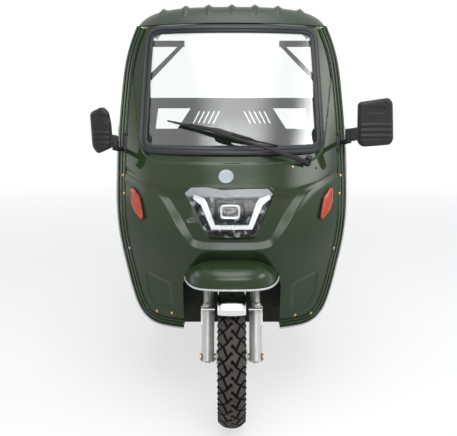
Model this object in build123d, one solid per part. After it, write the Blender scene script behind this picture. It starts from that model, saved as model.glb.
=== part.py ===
from build123d import *
import os
from math import cos, pi, radians, sin, sqrt, tan

# Electric cargo tricycle with an open-sided cab, in millimetres.
# The nose points to -Y, the vehicle's left is +X and the ground is Z = 0.

os.makedirs("parts", exist_ok=True)

# ---------------------------------------------------------------- driving dimensions
wheelbase = 2050
front_axle_y = -1250
tyre_radius = 257
tyre_width = 97
rim_radius = 156
track_rear = 860
rake_deg = 25
fork_offset = 35
fork_leg_spacing = 180
fork_leg_diameter = 37
cab_half_width = 462
floor_top = 315
floor_thickness = 15
bulkhead_back = 1190
roof_crest = 1600
roof_wall = 14
shell_wall = 14
edge_strip_width = 38
edge_strip_depth = 64
bed_length = 1500
bed_width = 1000
bed_wall = 30
bed_depth = 300
bed_floor_top = 620
bed_floor_thickness = 15
tailgate_thickness = 30
tailgate_gap = 8
main_rail_x = 200
main_rail_width = 40
main_rail_height = 60
running_fit = 0.05
seat_gap = 0.3

rear_axle_y = front_axle_y + wheelbase
bed_front_y = front_axle_y + bulkhead_back + 60
bed_rear_y = bed_front_y + bed_length
bulkhead_y = front_axle_y + bulkhead_back


def write(node, shape):
    """Writes one node to its STEP file."""
    export_step(shape, f"parts/{node}.step")


def solid_box(x0, x1, y0, y1, z0, z1):
    """A box between two corners."""
    return Pos((x0 + x1) / 2, (y0 + y1) / 2, (z0 + z1) / 2) * Box(x1 - x0, y1 - y0, z1 - z0)


def side_prism(points, x0, x1):
    """A side-view outline of (y, z) points drawn out between two X values."""
    face = Plane.YZ * make_face(Polyline(*points, close=True))
    return Pos(x0, 0, 0) * extrude(face, x1 - x0)


def both_sides(shape):
    """A piece and its mirror image across the centre plane."""
    return Compound(children=[shape, mirror(shape, Plane.YZ)])


def rod(start, end, radius):
    """A round bar between two points."""
    start = Vector(*start)
    end = Vector(*end)
    plane = Plane(start, z_dir=end - start)
    return plane * extrude(Circle(radius), (end - start).length)


# ---------------------------------------------------------------- nose surface
# Height, setback of the centreline behind the front axle, and sweep-back at panel_x.
panel_x = 420
plan_power = 2.2
nose_stations = [
    (290, 95, 175),
    (430, 58, 190),
    (570, 12, 205),
    (700, -38, 215),
    (860, -8, 215),
    (985, 62, 200),
    (1130, 152, 165),
    (1330, 250, 150),
    (1530, 350, 150),
    (1640, 404, 150),
]


def nose_section(height, setback, sweep):
    """One level plan section of the block behind the nose surface."""
    widths = [-520, -400, -260, -130, 0, 130, 260, 400, 520]
    front = [
        (x, front_axle_y + setback + sweep * (abs(x) / panel_x) ** plan_power) for x in widths
    ]
    back = front_axle_y + 1260
    edge = Spline(*front)
    rest = Polyline(front[-1], (520, back), (-520, back), front[0])
    return Pos(0, 0, height) * make_face(edge + rest)


nose_block = loft([nose_section(*station) for station in nose_stations])


def front_prism(outline):
    """A front-view outline in (x, z) drawn out along the whole nose."""
    return Pos(0, front_axle_y + 300, 0) * extrude(Plane.XZ * outline, 700, both=True)


def skin(front, back, outline):
    """The layer between two setbacks from the nose surface, inside a front-view outline."""
    piece = front_prism(outline) & (Pos(0, front, 0) * nose_block)
    return piece - Pos(0, back, 0) * nose_block


def mirrored_outline(right_half):
    """A closed face from the right half of a symmetric outline, top to bottom."""
    left_half = [(-x, z) for x, z in reversed(right_half)]
    return make_face(Polyline(*right_half, *left_half, close=True))


# Outer edge of the shell, right half, from the shoulder down to the wheel arch.
arch_half_width = 186
arch_top = 600
arch_shoulder = 540
shell_top = 1520


def shell_outline(inset):
    """The front-view edge of the shell, moved inwards."""
    side = [
        (cab_half_width - 64 - 0.5 * inset, shell_top),
        (cab_half_width - 24 - 0.8 * inset, 1400),
        (cab_half_width - 6 - inset, 1190),
        (cab_half_width - inset, 980),
        (cab_half_width - 10 - inset, 790),
        (cab_half_width - 46 - inset, 540),
        (cab_half_width - 80 - inset, 417 + 0.4 * inset),
        (cab_half_width - 132 - inset, 340 + inset),
    ]
    right = Spline(*side)
    left = Spline(*[(-x, z) for x, z in side])
    top = Line(side[0], (-side[0][0], shell_top))
    bottom = Line(side[-1], (-side[-1][0], side[-1][1]))
    return make_face(Curve() + [right, left, top, bottom])


# Windscreen
screen_base = 1014
screen_top = 1510
screen_base_half = cab_half_width - 98
screen_top_half = cab_half_width - 113
screen_corner = 52
rubber_width = 32


def screen_outline(inset):
    """The windscreen's rounded outline, moved inwards from the rubber's outer edge."""
    corners = [
        (screen_top_half, screen_top),
        (screen_base_half, screen_base),
        (-screen_base_half, screen_base),
        (-screen_top_half, screen_top),
    ]
    face = make_face(Polyline(*corners, close=True))
    face = fillet(face.vertices(), screen_corner)
    if inset:
        face = offset(face, -inset)
    return face


# Headlamp
lamp_corners = [(139, 891), (150, 867), (84, 728)]


def lamp_outline(grow):
    """The headlamp's trapezoid outline."""
    face = mirrored_outline(lamp_corners)
    if grow:
        face = offset(face, grow)
    return face


arch_cut = front_prism(
    mirrored_outline([(120, arch_top), (arch_half_width, arch_shoulder), (arch_half_width, 200)])
)
panel_face = shell_outline(edge_strip_width)
shell = skin(0, shell_wall, panel_face)

# Pressed forms: the sunken U round the headlamp and a shallow pad in each lower corner
press_depth = 8
pad_depth = 5
u_low = lamp_corners[-1][1] - 58
u_lower_side = [
    (cab_half_width - 52, 914),
    (cab_half_width - 122, 894),
    (cab_half_width - 180, 860),
    (cab_half_width - 219, 815),
    (cab_half_width - 256, 758),
    (lamp_corners[-1][0] + 88, u_low + 36),
    (lamp_corners[-1][0] + 62, u_low + 12),
    (lamp_corners[-1][0] + 20, u_low),
]
u_upper_side = [
    (lamp_corners[0][0] + 12, lamp_corners[0][1] + 14),
    (cab_half_width - 257, 893),
    (cab_half_width - 194, 900),
    (cab_half_width - 122, 917),
    (cab_half_width - 52, 943),
]
u_right = Spline(*u_lower_side)
u_left = Spline(*[(-x, z) for x, z in u_lower_side])
u_top_right = Spline(*u_upper_side)
u_top_left = Spline(*[(-x, z) for x, z in u_upper_side])
u_face = make_face(
    Curve()
    + [
        u_right,
        u_left,
        u_top_right,
        u_top_left,
        Line(u_lower_side[0], u_upper_side[-1]),
        Line(u_left @ 0, u_top_left @ 1),
        Line(u_lower_side[-1], u_left @ 1),
        Line(u_upper_side[0], u_top_left @ 0),
    ]
)
shell = shell - skin(-1, press_depth, u_face)
pad_corners = [(120, 566), (234, 524), (240, 414), (162, 402), (124, 455)]
pad_face = make_face(
    Polyline(*[(cab_half_width - inset, z) for inset, z in pad_corners], close=True)
)
pad_face = fillet(pad_face.vertices(), 14)
shell = shell - skin(-1, pad_depth, pad_face)
shell = shell - skin(-1, pad_depth, mirror(pad_face, Plane.YZ))
rubber_lap = 10
shell = shell - front_prism(screen_outline(rubber_lap))
shell = shell - front_prism(lamp_outline(0))
shell = shell - arch_cut
write("front_shell", shell)

# Grooved edge strips round the outside of the shell
strip_face = shell_outline(0) - shell_outline(edge_strip_width)
strips = skin(0, edge_strip_depth, strip_face)
strips = strips - arch_cut
for groove_inset in (12, 24):
    groove = shell_outline(groove_inset - 2.5) - shell_outline(groove_inset + 2.5)
    strips = strips - skin(-1, 6, groove)
write("shell_edge_strips", strips)

# Windscreen rubber and glass
glass_inset = rubber_width - 8
glass_front = 4
glass_thickness = 6
glass = skin(glass_front, glass_front + glass_thickness, screen_outline(glass_inset))
write("windscreen_glass", glass)
rubber_front = -7
rubber_back = 20
rubber = skin(rubber_front, rubber_back, screen_outline(rubber_lap))
rubber = rubber - front_prism(screen_outline(rubber_width))
lip = skin(rubber_front, 0, screen_outline(0)) - front_prism(screen_outline(rubber_lap))
rubber = rubber + lip
rubber = rubber - glass
write("windscreen_rubber", rubber)

# Headlamp housing and lens
lens_half = 4
lens = skin(press_depth - lens_half, press_depth + lens_half, lamp_outline(-seat_gap))
write("headlamp_lens", lens)
housing = skin(shell_wall, 66, lamp_outline(12))
housing = housing - skin(shell_wall - 1, 60, lamp_outline(-5))
write("headlamp_housing", housing)

# Turn signals: amber lens on a dark base, both sides
signal_corners = [(85, 884), (121, 852), (130, 773), (87, 818)]
signal_face = make_face(
    Polyline(*[(cab_half_width - inset, z) for inset, z in signal_corners], close=True)
)
signal_base = skin(-6, 0, offset(signal_face, 5))
write("turn_signal_bases", both_sides(signal_base))
signal_lens = skin(-18, -6, signal_face)
write("turn_signals", both_sides(signal_lens))

# Fender cap: the hood over the wheel arch, half an ellipse in plan at every height
cap_wall = 6
cap_rim_z = 552
cap_centre_y = front_axle_y + 46
cap_stations = [
    (cap_rim_z, 173, 200),
    (575, 167, 193),
    (597, 156, 176),
    (615, 132, 148),
    (628, 108, 108),
    (636, 88, 64),
]


def cap_section(height, half, reach, shrink):
    """One level plan section of the fender cap."""
    turns = [radians(turn) for turn in range(-90, 91, 30)]
    front = [
        ((half - shrink) * sin(turn), cap_centre_y - (reach - shrink) * cos(turn))
        for turn in turns
    ]
    back = front_axle_y + 70
    rest = Polyline(front[-1], (half - shrink, back), (shrink - half, back), front[0])
    return Pos(0, 0, height) * make_face(Spline(*front) + rest)


def cap_form(shrink, drop):
    """The cap's solid form, moved inwards and down by a wall."""
    sections = [cap_section(z - drop, half, reach, shrink) for z, half, reach in cap_stations]
    return loft(sections)


cap = cap_form(0, 0) - cap_form(cap_wall, cap_wall)
cap = cap - solid_box(-200, 200, front_axle_y - 200, front_axle_y + 80, cap_rim_z - 20, cap_rim_z)
cap = cap - nose_block
write("fender_cap", cap)

# ---------------------------------------------------------------- roof
roof_front = 345
roof_half_width = 400


def roof_block(shrink):
    """The roof's outer form, moved inwards on all but the underside and back."""
    half = roof_half_width - shrink
    crest = roof_crest - shrink
    section = Curve() + [
        ThreePointArc((half - 36, crest - 50), (0, crest), (36 - half, crest - 50)),
        ThreePointArc((half - 36, crest - 50), (half - 18, crest - 60), (half - 8, shell_top)),
        ThreePointArc((36 - half, crest - 50), (18 - half, crest - 60), (8 - half, shell_top)),
        Line((half - 8, shell_top), (8 - half, shell_top)),
    ]
    body = Pos(0, bulkhead_y + 30, 0) * extrude(Plane.XZ * make_face(section), 1000)
    brow = [
        (front_axle_y + roof_front - 20 + shrink, shell_top - 10),
        (front_axle_y + roof_front + 10 + shrink, 1540),
        (front_axle_y + 430 + shrink, 1566 - shrink * 0.5),
        (front_axle_y + 520 + shrink, 1592 - shrink * 0.8),
        (front_axle_y + 640, roof_crest + 5 - shrink),
        (bulkhead_y + 60, roof_crest + 5 - shrink),
        (bulkhead_y + 60, shell_top - 10),
    ]
    form = body & side_prism(brow, -500, 500)
    return form & (Pos(0, shrink, 0) * nose_block)


roof = roof_block(0) - roof_block(roof_wall)
rib_pitch = 96
rib_count = 7
rib_height = 9
rib_half_width = 17
for index in range(rib_count):
    rib_x = (index - (rib_count - 1) / 2) * rib_pitch
    rib_drop = 50 * (rib_x / (roof_half_width - 36)) ** 2
    rib_face = make_face(
        Polyline(
            (rib_x - rib_half_width, roof_crest - rib_drop - 4),
            (rib_x, roof_crest - rib_drop + rib_height),
            (rib_x + rib_half_width, roof_crest - rib_drop - 4),
            close=True,
        )
    )
    rib = Pos(0, bulkhead_y, 0) * extrude(Plane.XZ * rib_face, 640)
    roof = roof + rib
write("roof", roof)

# ---------------------------------------------------------------- floor pan with its front wall
foot_wall_y = front_axle_y + 295
floor_half_width = 430
pan_under = floor_top - floor_thickness
foot_wall_half = 300
foot_wall_top = 560
foot_wall_sheet = 8
pan_plan = make_face(
    Polyline(
        (foot_wall_half, foot_wall_y),
        (floor_half_width, foot_wall_y + 320),
        (floor_half_width, bulkhead_y),
        (-floor_half_width, bulkhead_y),
        (-floor_half_width, foot_wall_y + 320),
        (-foot_wall_half, foot_wall_y),
        close=True,
    )
)
pan = Pos(0, 0, pan_under) * extrude(pan_plan, floor_thickness)
pan = pan + solid_box(
    -foot_wall_half,
    foot_wall_half,
    foot_wall_y,
    foot_wall_y + foot_wall_sheet,
    pan_under,
    foot_wall_top,
)

# ---------------------------------------------------------------- seat on its battery box
box_front = front_axle_y + 760
box_half = 370
box_top = 560
box_sheet = 4
seat_box = solid_box(-box_half, box_half, box_front, bulkhead_y - 40, floor_top, box_top)
seat_box = seat_box - solid_box(
    -box_half + box_sheet,
    box_half - box_sheet,
    box_front + box_sheet,
    bulkhead_y - 40 - box_sheet,
    floor_top - 1,
    box_top - box_sheet,
)
write("seat_box", seat_box)
battery = solid_box(
    -310, 310, box_front + 40, bulkhead_y - 90, floor_top, floor_top + 215
)
write("battery_pack", battery)
cushion = solid_box(
    -box_half, box_half, box_front - 10, bulkhead_y - 60, box_top + seat_gap, box_top + 90
)
cushion = fillet(cushion.edges(), 22)
write("seat_cushion", cushion)
bulkhead_thickness = 12
backrest = solid_box(
    -box_half, box_half, bulkhead_y - 82, bulkhead_y - bulkhead_thickness - seat_gap, 670, 930
)
backrest = fillet(backrest.edges(), 22)
write("seat_backrest", backrest)

# ---------------------------------------------------------------- bulkhead and rear posts
band_top = 1230
band_bottom = 1183
bulkhead_half = 424
bulkhead = solid_box(
    -bulkhead_half, bulkhead_half, bulkhead_y - bulkhead_thickness, bulkhead_y, floor_top, band_top
)
window_points = [(215, 1176), (385, 1176), (400, 1070), (285, 1070)]
for side in (-1, 1):
    window = make_face(Polyline(*[(side * x, z) for x, z in window_points], close=True))
    bulkhead = bulkhead - (Pos(0, bulkhead_y, 0) * extrude(Plane.XZ * window, 40, both=True))
rail_depth = 30
bulkhead = bulkhead + solid_box(
    -bulkhead_half, bulkhead_half, bulkhead_y - rail_depth, bulkhead_y, band_bottom, band_top
)
slit_count = 5
slit_pitch = 26
slit_width = 7
slit_length = 62
slit_lean = 32
for side in (-1, 1):
    for index in range(slit_count):
        slit_x = side * (62 + index * slit_pitch)
        slit_face = make_face(
            Polyline(
                (slit_x, 1160),
                (slit_x + side * slit_width, 1160),
                (slit_x + side * (slit_width + slit_lean), 1160 - slit_length),
                (slit_x + side * slit_lean, 1160 - slit_length),
                close=True,
            )
        )
        bulkhead = bulkhead - (Pos(0, bulkhead_y, 0) * extrude(Plane.XZ * slit_face, 40, both=True))
write("rear_bulkhead", bulkhead)
post_size = 30
post = solid_box(
    bulkhead_half,
    bulkhead_half + post_size,
    bulkhead_y - post_size,
    bulkhead_y,
    floor_top,
    shell_top,
)
header_inner = bulkhead_half - 180
post = post + solid_box(
    header_inner,
    bulkhead_half + post_size,
    bulkhead_y - post_size,
    bulkhead_y,
    shell_top - post_size,
    shell_top,
)
brace_low = 1310
brace_face = make_face(
    Polyline(
        (bulkhead_half + 4, brace_low),
        (bulkhead_half + 4, brace_low + 36),
        (header_inner + 30, shell_top - post_size + 4),
        (header_inner + 4, shell_top - post_size + 4),
        close=True,
    )
)
brace_y = bulkhead_y - (post_size - 20) / 2
post = post + Pos(0, brace_y, 0) * extrude(Plane.XZ * brace_face, 20)
write("cab_posts", both_sides(post))

# ---------------------------------------------------------------- dashboard shelf
dash_face = make_face(Polyline((340, 985), (340, 1000), (-340, 1000), (-340, 985), close=True))
dash = skin(shell_wall, 110, dash_face)
write("dashboard", dash)

# ---------------------------------------------------------------- wiper
wiper_pivot = (300, 985)
wiper_blade_start = (-250, 1150)
wiper_blade_end = (165, 1062)
wiper_joint = (-45, 1108)


def bar_face(start, end, half_width):
    """A straight strip between two points of the front view."""
    direction = (Vector(*end) - Vector(*start)).normalized()
    across = Vector(-direction.Y, direction.X) * half_width
    corners = [
        Vector(*start) + across,
        Vector(*end) + across,
        Vector(*end) - across,
        Vector(*start) - across,
    ]
    return make_face(Polyline(*[(c.X, c.Y) for c in corners], close=True))


blade = skin(-22, -8, bar_face(wiper_blade_start, wiper_blade_end, 6))
arm = skin(-30, -22, bar_face(wiper_pivot, wiper_joint, 8))
boss = skin(-30, 0, Pos(*wiper_pivot) * Circle(15))
wiper = blade + arm + boss
write("wiper", wiper)

# ---------------------------------------------------------------- mirrors
mirror_y = front_axle_y + 200
mirror_plate_y = front_axle_y + 292
mirror_depth = 34
mirror_corner = 14
plate_inner = cab_half_width - 46
plate_outer = cab_half_width - 28
stay_inner = cab_half_width - 38
mirror_left_corners = [(487, 1208), (618, 1225), (631, 1060), (487, 1034)]
mirror_right_corners = [(492, 1192), (557, 1168), (548, 1030), (522, 1004), (464, 1034)]
for node, side, head_corners in (
    ("mirror_left", 1, mirror_left_corners),
    ("mirror_right", -1, mirror_right_corners),
):
    head_face = make_face(Polyline(*[(side * x, z) for x, z in head_corners], close=True))
    head_face = fillet(head_face.vertices(), mirror_corner)
    head = Pos(0, mirror_y + 30, 0) * extrude(Plane.XZ * head_face, mirror_depth)
    plate_face = make_face(
        Polyline(
            (plate_inner, 1009),
            (plate_outer, 1009),
            (plate_outer, 1089),
            (plate_inner, 1089),
            close=True,
        )
    )
    plate = skin(-9, 0, plate_face)
    stay = solid_box(stay_inner, 500, mirror_y, mirror_y + 24, 1050, 1074)
    stay = stay + solid_box(stay_inner, stay_inner + 16, mirror_y, mirror_plate_y, 1050, 1074)
    stay = plate + (stay - nose_block)
    if side < 0:
        stay = mirror(stay, Plane.YZ)
    write(node, head + stay)

# ---------------------------------------------------------------- chassis
rake = radians(rake_deg)
steer_foot = Vector(0, front_axle_y + fork_offset, tyre_radius)
steer_axis = Vector(0, sin(rake), cos(rake))


def on_axis(distance):
    """A point on the steering axis, measured up from the hub's level."""
    return steer_foot + steer_axis * distance


def across_axis(distance):
    """The plane square to the steering axis at a distance up from the hub's level."""
    return Plane(on_axis(distance), x_dir=(1, 0, 0), z_dir=steer_axis)


stem_radius = 18
head_low = 397
head_high = 575
head_radius = 32
head_tube = across_axis(head_low) * extrude(Circle(head_radius), head_high - head_low)

rail_low_z = pan_under - main_rail_height
bed_rail_z = 495
kick_start = bulkhead_y + 10
kick_end = bulkhead_y + 95
rail_start = front_axle_y + 545
rail_profile = [
    (rail_start, rail_low_z),
    (kick_start, rail_low_z),
    (kick_end, bed_rail_z),
    (bed_rear_y - 20, bed_rail_z),
    (bed_rear_y - 20, bed_rail_z + main_rail_height),
    (kick_end - 20, bed_rail_z + main_rail_height),
    (kick_start - 10, pan_under),
    (rail_start, pan_under),
]
rail = side_prism(
    rail_profile, main_rail_x - main_rail_width / 2, main_rail_x + main_rail_width / 2
)
chassis = rail + mirror(rail, Plane.YZ)
cross_members = [rail_start + 20, front_axle_y + 850, kick_start - 60]
for member_y in cross_members:
    chassis = chassis + solid_box(
        -main_rail_x, main_rail_x, member_y - 20, member_y + 20, rail_low_z + 5, pan_under
    )
bearer_pitch = 300
bearer_start = 50
bearer_count = 5
bearer_top = bed_floor_top - bed_floor_thickness
for index in range(bearer_count):
    bearer_y = bed_front_y + bearer_start + index * bearer_pitch
    chassis = chassis + solid_box(
        -bed_width / 2 + 40,
        bed_width / 2 - 40,
        bearer_y - 20,
        bearer_y + 20,
        bed_rail_z + main_rail_height,
        bearer_top,
    )
down_radius = 25
down_route = [
    (0, on_axis(head_low + 70).Y, on_axis(head_low + 70).Z),
    (0, foot_wall_y + 48, foot_wall_top - 60),
    (0, foot_wall_y + 70, pan_under - down_radius),
    (0, rail_start + 20, pan_under - down_radius),
]
down_line = FilletPolyline(*down_route, radius=60)
down_tube = sweep(Plane(down_line @ 0, z_dir=down_line % 0) * Circle(down_radius), path=down_line)
chassis = chassis + down_tube
pan_hole = solid_box(
    -down_radius - 3,
    down_radius + 3,
    foot_wall_y + 36,
    foot_wall_y + 150,
    pan_under - 60,
    floor_top + 1,
)
pan = pan - pan_hole
pan = pan - solid_box(
    -down_radius - 3,
    down_radius + 3,
    foot_wall_y - 1,
    foot_wall_y + foot_wall_sheet + 1,
    foot_wall_top - 80,
    foot_wall_top + 1,
)
write("floor_pan", pan)

# ---------------------------------------------------------------- cargo bed
bed_half = bed_width / 2
bed_floor = solid_box(
    -bed_half, bed_half, bed_front_y, bed_rear_y, bearer_top, bed_floor_top
)
bed_bolt_x = 800
bed_bolt_y = 1200
bed_bolt_radius = 6.5
for side in (-1, 1):
    for end in (-1, 1):
        bolt_y = (bed_front_y + bed_rear_y) / 2 + end * bed_bolt_y / 2
        bolt_hole = Pos(side * bed_bolt_x / 2, bolt_y, bearer_top - 1) * extrude(
            Circle(bed_bolt_radius), bed_floor_thickness + 2
        )
        bed_floor = bed_floor - bolt_hole
bed = bed_floor
bed_top = bed_floor_top + bed_depth
bed = bed + solid_box(
    -bed_half, bed_half, bed_front_y, bed_front_y + bed_wall, bed_floor_top, bed_top
)
for side in (-1, 1):
    inner = side * (bed_half - bed_wall)
    outer = side * bed_half
    bed = bed + solid_box(
        min(inner, outer), max(inner, outer), bed_front_y, bed_rear_y, bed_floor_top, bed_top
    )

# Headboard above the bed's front wall, with rounded corners
headboard_top = 1036
headboard_half = bed_half - 52
headboard_corner = 60
headboard_low = bed_top - headboard_corner
headboard_face = RectangleRounded(
    2 * headboard_half, headboard_top - headboard_low, headboard_corner - 2
)
headboard_plane = Plane(
    (0, bed_front_y + bed_wall, (headboard_top + headboard_low) / 2), x_dir=(1, 0, 0), z_dir=(0, -1, 0)
)
bed = bed + headboard_plane * extrude(headboard_face, bed_wall)

# Panels pressed into the outside of the walls, and grooves along the floor
panel_depth = 8
panel_slope = 35
panel_corner = 14
panel_low = bed_floor_top + 28
panel_high = bed_top - 44


def pressed_panel(centre, out, along, length, low, high):
    """The tapered hollow that a press leaves in a wall's outside."""
    middle = Vector(centre[0], centre[1], (low + high) / 2)
    plane = Plane(middle, x_dir=along, z_dir=(-out[0], -out[1], -out[2]))
    face = RectangleRounded(length, high - low, panel_corner)
    return plane * extrude(face, panel_depth, taper=panel_slope)


side_panel_count = 4
side_panel_pitch = (bed_length - 60) / side_panel_count
panel_gap = 46
front_panel_pitch = (bed_width - 60) / 3
for index in range(side_panel_count):
    panel_y = bed_front_y + 30 + (index + 0.5) * side_panel_pitch
    for side in (-1, 1):
        bed = bed - pressed_panel(
            (side * bed_half, panel_y),
            (side, 0, 0),
            (0, 1, 0),
            side_panel_pitch - panel_gap,
            panel_low,
            panel_high,
        )
groove_count = 9
groove_pitch = 98
groove_width = 16
groove_depth = 3
for index in range(groove_count):
    groove_x = (index - (groove_count - 1) / 2) * groove_pitch
    bed = bed - solid_box(
        groove_x - groove_width / 2,
        groove_x + groove_width / 2,
        bed_front_y + bed_wall + 40,
        bed_rear_y - 60,
        bed_floor_top - groove_depth,
        bed_floor_top + 1,
    )

# Tailgate hinge: fixed ears on the bed, a barrel between them on the gate
hinge_y = bed_rear_y + tailgate_gap + tailgate_thickness / 2
hinge_z = bearer_top
pin_radius = 5
barrel_radius = 11
ear_thickness = 8
barrel_length = 60
ear_gap = 1
hinge_x = 330
for side in (-1, 1):
    for end in (-1, 1):
        ear_x = side * hinge_x + end * (barrel_length / 2 + ear_gap + ear_thickness / 2)
        ear_start = ear_x - ear_thickness / 2
        ear_plate = solid_box(
            ear_start,
            ear_start + ear_thickness,
            bed_rear_y - 40,
            hinge_y,
            hinge_z - barrel_radius,
            hinge_z,
        )
        ear_eye = Pos(ear_start, hinge_y, hinge_z) * Rot(0, 90, 0) * extrude(
            Circle(barrel_radius), ear_thickness
        )
        bed = bed + ear_plate + ear_eye
    pin_length = barrel_length + 2 * (ear_gap + ear_thickness)
    pin = Pos(side * hinge_x - pin_length / 2, hinge_y, hinge_z) * Rot(0, 90, 0)
    bed = bed + pin * extrude(Circle(pin_radius), pin_length)
write("cargo_bed", bed)

gate_low = bed_floor_top
gate_back = bed_rear_y + tailgate_gap + tailgate_thickness
gate = solid_box(
    -bed_half,
    bed_half,
    bed_rear_y + tailgate_gap,
    bed_rear_y + tailgate_gap + tailgate_thickness,
    gate_low,
    bed_top,
)
for index in (-1, 0, 1):
    gate = gate - pressed_panel(
        (index * front_panel_pitch, gate_back),
        (0, 1, 0),
        (1, 0, 0),
        front_panel_pitch - panel_gap,
        panel_low,
        panel_high,
    )
for side in (-1, 1):
    barrel = Pos(side * hinge_x - barrel_length / 2, hinge_y, hinge_z) * Rot(0, 90, 0)
    barrel_body = barrel * extrude(Circle(barrel_radius), barrel_length)
    strap = solid_box(
        side * hinge_x - barrel_length / 2,
        side * hinge_x + barrel_length / 2,
        hinge_y - barrel_radius + 3,
        hinge_y + barrel_radius - 3,
        hinge_z,
        gate_low,
    )
    bore = barrel * extrude(Circle(pin_radius + running_fit), barrel_length)
    gate = gate + barrel_body + strap
    gate = gate - bore
write("tailgate", gate)

# Latches on the bed's rear corners: a plate with a turned-down handle
latch_plate = 4
latches = []
for side in (-1, 1):
    latch_x = side * bed_half
    latch_z = bed_top - 60
    plate = solid_box(
        min(latch_x, latch_x + side * latch_plate),
        max(latch_x, latch_x + side * latch_plate),
        bed_rear_y - 62,
        bed_rear_y - 2,
        latch_z - 30,
        latch_z + 30,
    )
    boss_plane = Plane((latch_x, bed_rear_y - 20, latch_z), x_dir=(0, 1, 0), z_dir=(side, 0, 0))
    boss = boss_plane * extrude(Circle(11), 14)
    handle = rod(
        (latch_x + side * 11, bed_rear_y - 20, latch_z),
        (latch_x + side * 11, bed_rear_y - 44, latch_z - 84),
        6,
    )
    latches.append(plate + boss + handle)
write("tailgate_latches", Compound(children=latches))

# ---------------------------------------------------------------- rear axle, springs, mudguards
rear_track_half = track_rear / 2
axle_tube_radius = 30
stub_radius = 15
hub_half_length = 55
axle_end = rear_track_half - hub_half_length - 2
stub_end = rear_track_half + hub_half_length + 14
banjo_radius = 92
banjo_half = 78
drum_inner = 90
drum_outer = 98
drum_plate = 8
drum_open = rear_track_half - 18
axle_profile = make_face(
    Polyline(
        (0, -stub_end),
        (stub_radius, -stub_end),
        (stub_radius, -axle_end),
        (drum_inner, -axle_end),
        (drum_inner, -drum_open),
        (drum_outer, -drum_open),
        (drum_outer, drum_plate - axle_end),
        (axle_tube_radius, drum_plate - axle_end),
        (axle_tube_radius, -banjo_half),
    )
    + ThreePointArc((axle_tube_radius, -banjo_half), (banjo_radius, 0), (axle_tube_radius, banjo_half))
    + Polyline(
        (axle_tube_radius, banjo_half),
        (axle_tube_radius, axle_end - drum_plate),
        (drum_outer, axle_end - drum_plate),
        (drum_outer, drum_open),
        (drum_inner, drum_open),
        (drum_inner, axle_end),
        (stub_radius, axle_end),
        (stub_radius, stub_end),
        (0, stub_end),
        (0, -stub_end),
    )
)
axle_plane = Plane((0, rear_axle_y, tyre_radius), x_dir=(0, 0, 1), z_dir=(0, -1, 0))
axle = revolve(axle_plane * axle_profile, Axis((0, rear_axle_y, tyre_radius), (1, 0, 0)))
write("rear_axle", axle)
motor_radius = 80
motor_y = rear_axle_y - banjo_radius - motor_radius - seat_gap
motor_plane = Plane((-95, motor_y, tyre_radius), x_dir=(0, 1, 0), z_dir=(1, 0, 0))
write("drive_motor", motor_plane * extrude(Circle(motor_radius), 190))

spring_x = 300
spring_half_length = 420
leaf_thickness = 7
leaf_count = 5
spring_seat_z = tyre_radius + axle_tube_radius
springs = []
for side in (-1, 1):
    pack = None
    for index in range(leaf_count):
        reach = spring_half_length - 75 * index
        level = spring_seat_z + (leaf_count - index) * leaf_thickness
        leaf = solid_box(
            side * spring_x - 25,
            side * spring_x + 25,
            rear_axle_y - reach,
            rear_axle_y + reach,
            level - leaf_thickness,
            level,
        )
        pack = leaf if pack is None else pack + leaf
    for end in (-1, 1):
        hanger_y = rear_axle_y + end * (spring_half_length - 20)
        pack = pack + solid_box(
            min(side * (main_rail_x + main_rail_width / 2), side * (spring_x + 25)),
            max(side * (main_rail_x + main_rail_width / 2), side * (spring_x + 25)),
            hanger_y - 20,
            hanger_y + 20,
            spring_seat_z + leaf_count * leaf_thickness,
            bed_rail_z + 30,
        )
    springs.append(pack)
write("leaf_springs", Compound(children=springs))

guard_radius = tyre_radius + 45
guard_sheet = 4
guard_half_width = 66
guards = []
for side in (-1, 1):
    ring = Circle(guard_radius) - Circle(guard_radius - guard_sheet)
    keep = Pos(0, guard_radius) * Rectangle(2 * guard_radius, 1.5 * guard_radius)
    guard_start = (side * rear_track_half - guard_half_width, rear_axle_y, tyre_radius)
    guard_plane = Plane(guard_start, x_dir=(0, 1, 0), z_dir=(1, 0, 0))
    guard = guard_plane * extrude(ring & keep, 2 * guard_half_width)
    guard = guard + solid_box(
        side * rear_track_half - 30,
        side * rear_track_half + 30,
        rear_axle_y - 25,
        rear_axle_y + 25,
        tyre_radius + guard_radius - 2,
        bearer_top,
    )
    guards.append(guard)
write("rear_mudguards", Compound(children=guards))

lamp_half = 60
lamps = []
for side in (-1, 1):
    lamps.append(
        solid_box(
            side * 432 - lamp_half,
            side * 432 + lamp_half,
            bed_rear_y - 40,
            bed_rear_y - 8,
            bearer_top - 75,
            bearer_top,
        )
    )
write("tail_lamps", Compound(children=lamps))

# ---------------------------------------------------------------- wheels
hub_radius = 34
sidewall_radius = (rim_radius + tyre_radius) / 2
disc_sheet = 6
disc_crown = 16
disc_hole_count = 6
disc_hole_radius = 13


def tyre(x, y):
    """A tyre turned from its cross-section."""
    half = tyre_width / 2
    profile = make_face(
        Polyline((rim_radius, -half + 14), (rim_radius, half - 14))
        + ThreePointArc(
            (rim_radius, half - 14), (sidewall_radius, half), (tyre_radius - 16, half - 16)
        )
        + ThreePointArc(
            (tyre_radius - 16, half - 16), (tyre_radius, 0), (tyre_radius - 16, 16 - half)
        )
        + ThreePointArc(
            (tyre_radius - 16, 16 - half), (sidewall_radius, -half), (rim_radius, 14 - half)
        )
    )
    return Pos(x, y, tyre_radius) * Rot(0, 90, 0) * revolve(Plane.XZ * profile, Axis.Z)


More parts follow.
